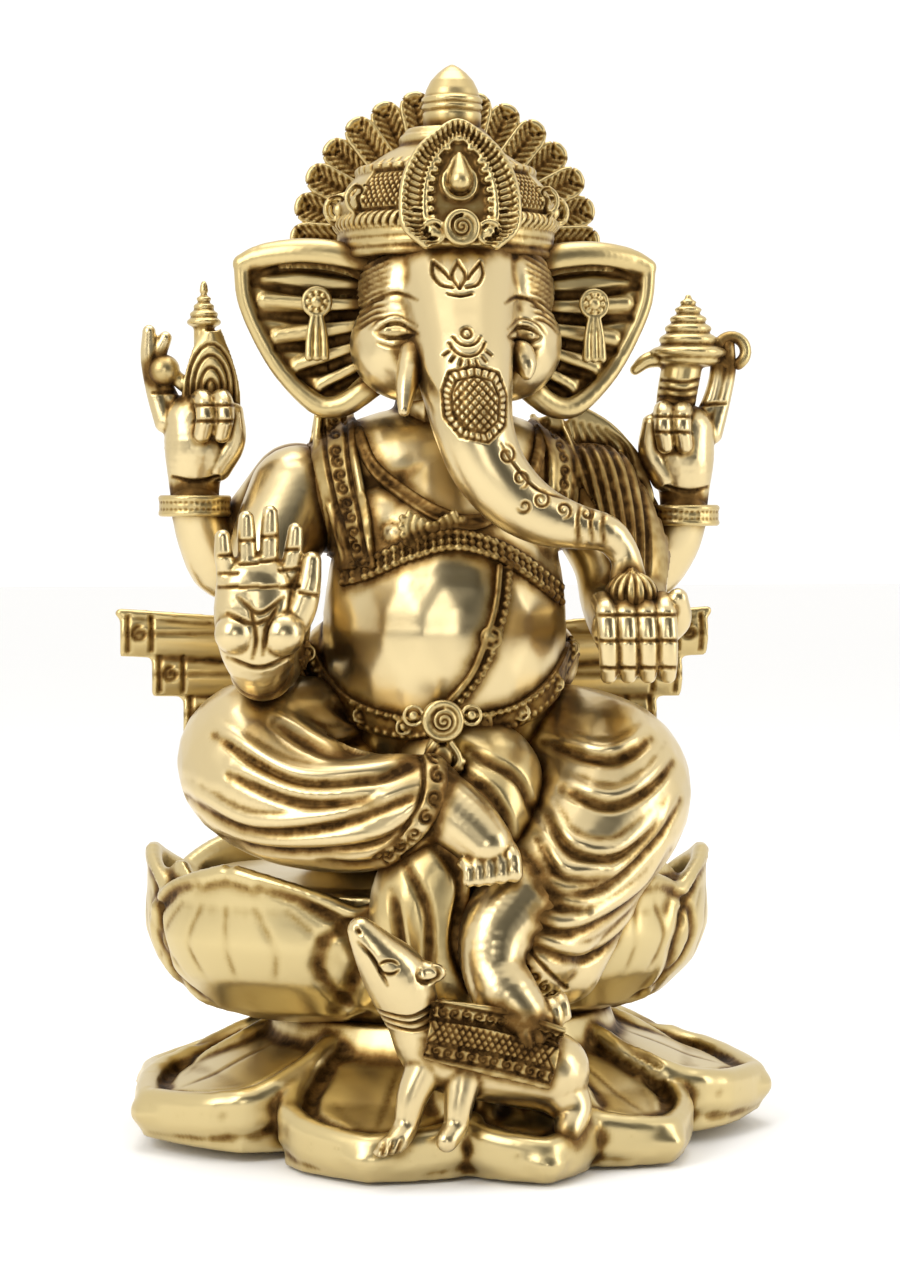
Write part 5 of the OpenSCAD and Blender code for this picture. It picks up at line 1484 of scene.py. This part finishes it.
# %% Saddle cloth
mount = tree_of(["mouse"])
low, high = mm_box("saddle_cloth")
clay = bmesh.new()
mid_line = [(low[0] + 7, high[2] - 7), ((low[0] + high[0]) / 2 + 1, (low[2] + high[2]) / 2 + 1),
            (high[0] - 8, low[2] + 8)]
ribbon(clay, mount, mid_line, [8, 9.5, 9], 1.5, 2.4, miss=-92, across=14)
saddle = Casting("saddle_cloth", clay, 0.42, 2)
spine = np.array(mid_line, float)
d = (spine[-1] - spine[0]) / np.linalg.norm(spine[-1] - spine[0])
n = vec(-d[1], d[0])
edge = lambda s: [tuple(p + n * s) for p in spine]
saddle.strokes([edge(-7.2), edge(7.2), edge(-3.4), edge(3.4)], 0.75, 0.8, taper=False)
saddle.strokes(scrolls(edge(-5.3), 1.6, 3.2), 0.6, 0.7, taper=False)
saddle.strokes(scrolls(edge(5.3), 1.6, 3.2), 0.6, 0.7, taper=False)
length = np.linalg.norm(spine[-1] - spine[0])
net = [[tuple(spine[0] + d * k + n * -3), tuple(spine[0] + d * (k + 4) + n * 3)]
       for k in np.arange(0, length - 3, 2.0)]
net += [[tuple(spine[0] + d * k + n * 3), tuple(spine[0] + d * (k + 4) + n * -3)]
        for k in np.arange(0, length - 3, 2.0)]
saddle.strokes(net, 0.5, 0.55, taper=False)
print("saddle cloth", len(saddle.points))

# %% [markdown]
# The statue is brass with brown patina in its recesses, and its recesses and seams are also darkened as
# painted shade. One flat metal colour would look like plastic, so the colour and the roughness both follow a
# value of patina and painted shade that each point carries, and a fine noise breaks up its edge and gives the
# skin a light cast grain.


# %% Brass
def brass(name, bright, mid, roughness):
    material = bpy.data.materials.new(name)
    material.use_nodes = True
    nodes, links = material.node_tree.nodes, material.node_tree.links
    shader = nodes["Principled BSDF"]
    shader.inputs["Metallic"].default_value = 1.0
    patina_and_painted_shade = nodes.new("ShaderNodeAttribute")
    patina_and_painted_shade.attribute_name = "patina_and_painted_shade"
    spots = nodes.new("ShaderNodeTexCoord")
    noise = nodes.new("ShaderNodeTexNoise")
    noise.inputs["Scale"].default_value = 260
    noise.inputs["Detail"].default_value = 6
    links.new(spots.outputs["Object"], noise.inputs["Vector"])
    clouds = nodes.new("ShaderNodeTexNoise")
    clouds.inputs["Scale"].default_value = 45
    clouds.inputs["Detail"].default_value = 3
    links.new(spots.outputs["Object"], clouds.inputs["Vector"])
    # patina and painted shade plus a little noise
    speck = nodes.new("ShaderNodeMapRange")
    speck.inputs["From Min"].default_value = 0.35
    speck.inputs["From Max"].default_value = 0.7
    speck.inputs["To Min"].default_value = -0.22
    speck.inputs["To Max"].default_value = 0.22
    links.new(noise.outputs["Fac"], speck.inputs["Value"])
    total = nodes.new("ShaderNodeMath")
    total.operation = "ADD"
    links.new(patina_and_painted_shade.outputs["Fac"], total.inputs[0])
    scaled = nodes.new("ShaderNodeMath")
    scaled.operation = "MULTIPLY"
    links.new(speck.outputs["Result"], scaled.inputs[0])
    links.new(patina_and_painted_shade.outputs["Fac"], scaled.inputs[1])
    links.new(scaled.outputs["Value"], total.inputs[1])
    # bright brass through brown to near black: the dark end is painted shade in recesses and seams as well as
    # patina
    ramp = nodes.new("ShaderNodeValToRGB")
    stops = ramp.color_ramp.elements
    stops[0].position, stops[0].color = 0.0, (*bright, 1)
    stops[1].position, stops[1].color = 1.0, (0.035, 0.017, 0.005, 1)
    middle = stops.new(0.3)
    middle.color = (*mid, 1)
    deep = stops.new(0.6)
    deep.color = (0.17, 0.09, 0.025, 1)
    links.new(total.outputs["Value"], ramp.inputs["Fac"])
    links.new(ramp.outputs["Color"], shader.inputs["Base Color"])
    rough = nodes.new("ShaderNodeMapRange")
    rough.inputs["To Min"].default_value = roughness
    rough.inputs["To Max"].default_value = 0.62
    links.new(total.outputs["Value"], rough.inputs["Value"])
    links.new(rough.outputs["Result"], shader.inputs["Roughness"])
    bump = nodes.new("ShaderNodeBump")
    bump.inputs["Strength"].default_value = 0.12
    bump.inputs["Distance"].default_value = 0.0004
    links.new(noise.outputs["Fac"], bump.inputs["Height"])
    links.new(bump.outputs["Normal"], shader.inputs["Normal"])
    return material


FINISH = {
    "polished_brass": brass("polished brass", (0.66, 0.53, 0.29), (0.40, 0.28, 0.11), 0.28),
    "cast_brass": brass("cast brass", (0.58, 0.45, 0.21), (0.34, 0.23, 0.08), 0.34),
    "lotus_brass": brass("lotus brass", (0.60, 0.48, 0.24), (0.36, 0.25, 0.09), 0.31),
}
print("brass finishes", list(FINISH))


# %% [markdown]
# Patina gathers in fine engraving, in broad creases and where two castings meet, and there the colour is also
# darkened as painted shade, where light would be occluded. A baked image could hold it, but arithmetic on the
# mesh gives one value for each point and needs no image.


# %% Patina, painted shade and finish
def hollows(casting):
    """How far each point lies below its wider surroundings: fine engraving and broad creases together."""
    normals = casting.normals()
    low = casting.points.copy()
    found = np.zeros(len(low))
    for rounds, depth, share in ((4, 0.10, 0.6), (16, 0.42, 0.9)):
        for _ in range(rounds):
            low = casting.average(low)
        found = np.maximum(found, share * np.clip(((low - casting.points) * normals).sum(1) / depth, 0, 1))
    return found


# Cells of 1 mm hold how many castings come within one, two and three cells of them.
origin = np.min([c.points.min(0) for c in castings.values()], 0) - 6
extent = (np.max([c.points.max(0) for c in castings.values()], 0) + 6 - origin).astype(int) + 1
crowd = [np.zeros(extent, np.uint8) for _ in range(3)]
for c in castings.values():
    cells = np.floor(c.points - origin).astype(int)
    first = cells.min(0) - 4
    taken = np.zeros(cells.max(0) - first + 5, bool)
    taken[tuple((cells - first).T)] = True
    window = tuple(slice(f, f + n) for f, n in zip(first, taken.shape))
    for level in range(3):
        grown = taken.copy()
        for axis in range(3):
            for way in (-1, 1):
                grown |= np.roll(taken, way, axis)
        taken = grown
        crowd[level][window] += taken


def seams(casting):
    """How close each point lies to a neighbouring casting, where patina gathers and painted shade between the
    parts darkens the colour.
    """
    cells = tuple(np.floor(casting.points - origin).astype(int).T)
    near = np.zeros(len(casting.points))
    for level, amount in ((2, 0.35), (1, 0.65), (0, 1.0)):
        near[crowd[level][cells] > 1] = amount
    for _ in range(3):
        near = casting.average(near)
    return near


record_slots = {row["node"]: row["material_slot"] for row in frame["record"]["subparts"]}
for name, casting in castings.items():
    casting.normals()
for name, casting in castings.items():
    mesh = casting.object.data
    around = seams(casting)
    # the darkening value: brown patina and painted shade from cuts, hollows and seams together
    casting.patina_and_painted_shade = np.clip(np.maximum(casting.cut, hollows(casting)) + 0.75 * around ** 1.6, 0, 1)
    casting.patina_and_painted_shade = 0.5 * casting.patina_and_painted_shade + 0.5 * casting.average(casting.patina_and_painted_shade)
    values = mesh.attributes.new("patina_and_painted_shade", "FLOAT", "POINT")
    values.data.foreach_set("value", casting.patina_and_painted_shade)
    mesh.polygons.foreach_set("use_smooth", [True] * len(mesh.polygons))
    mesh.materials.clear()
    casting.slot = record_slots[casting.nodes[0]]
    mesh.materials.append(FINISH[casting.slot])
    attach(casting.object, "root")
    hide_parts(*casting.nodes)

replaced = {n for c in castings.values() for n in c.nodes}
for node, o in frame["nodes"].items():
    if node not in replaced:
        o.data.materials.clear()
        o.data.materials.append(FINISH[record_slots[node]])

print("castings", len(castings), "points", sum(len(c.points) for c in castings.values()))

# %% The ball templates are removed, and done
for mesh, _ in BALLS.values():
    bpy.data.meshes.remove(mesh)
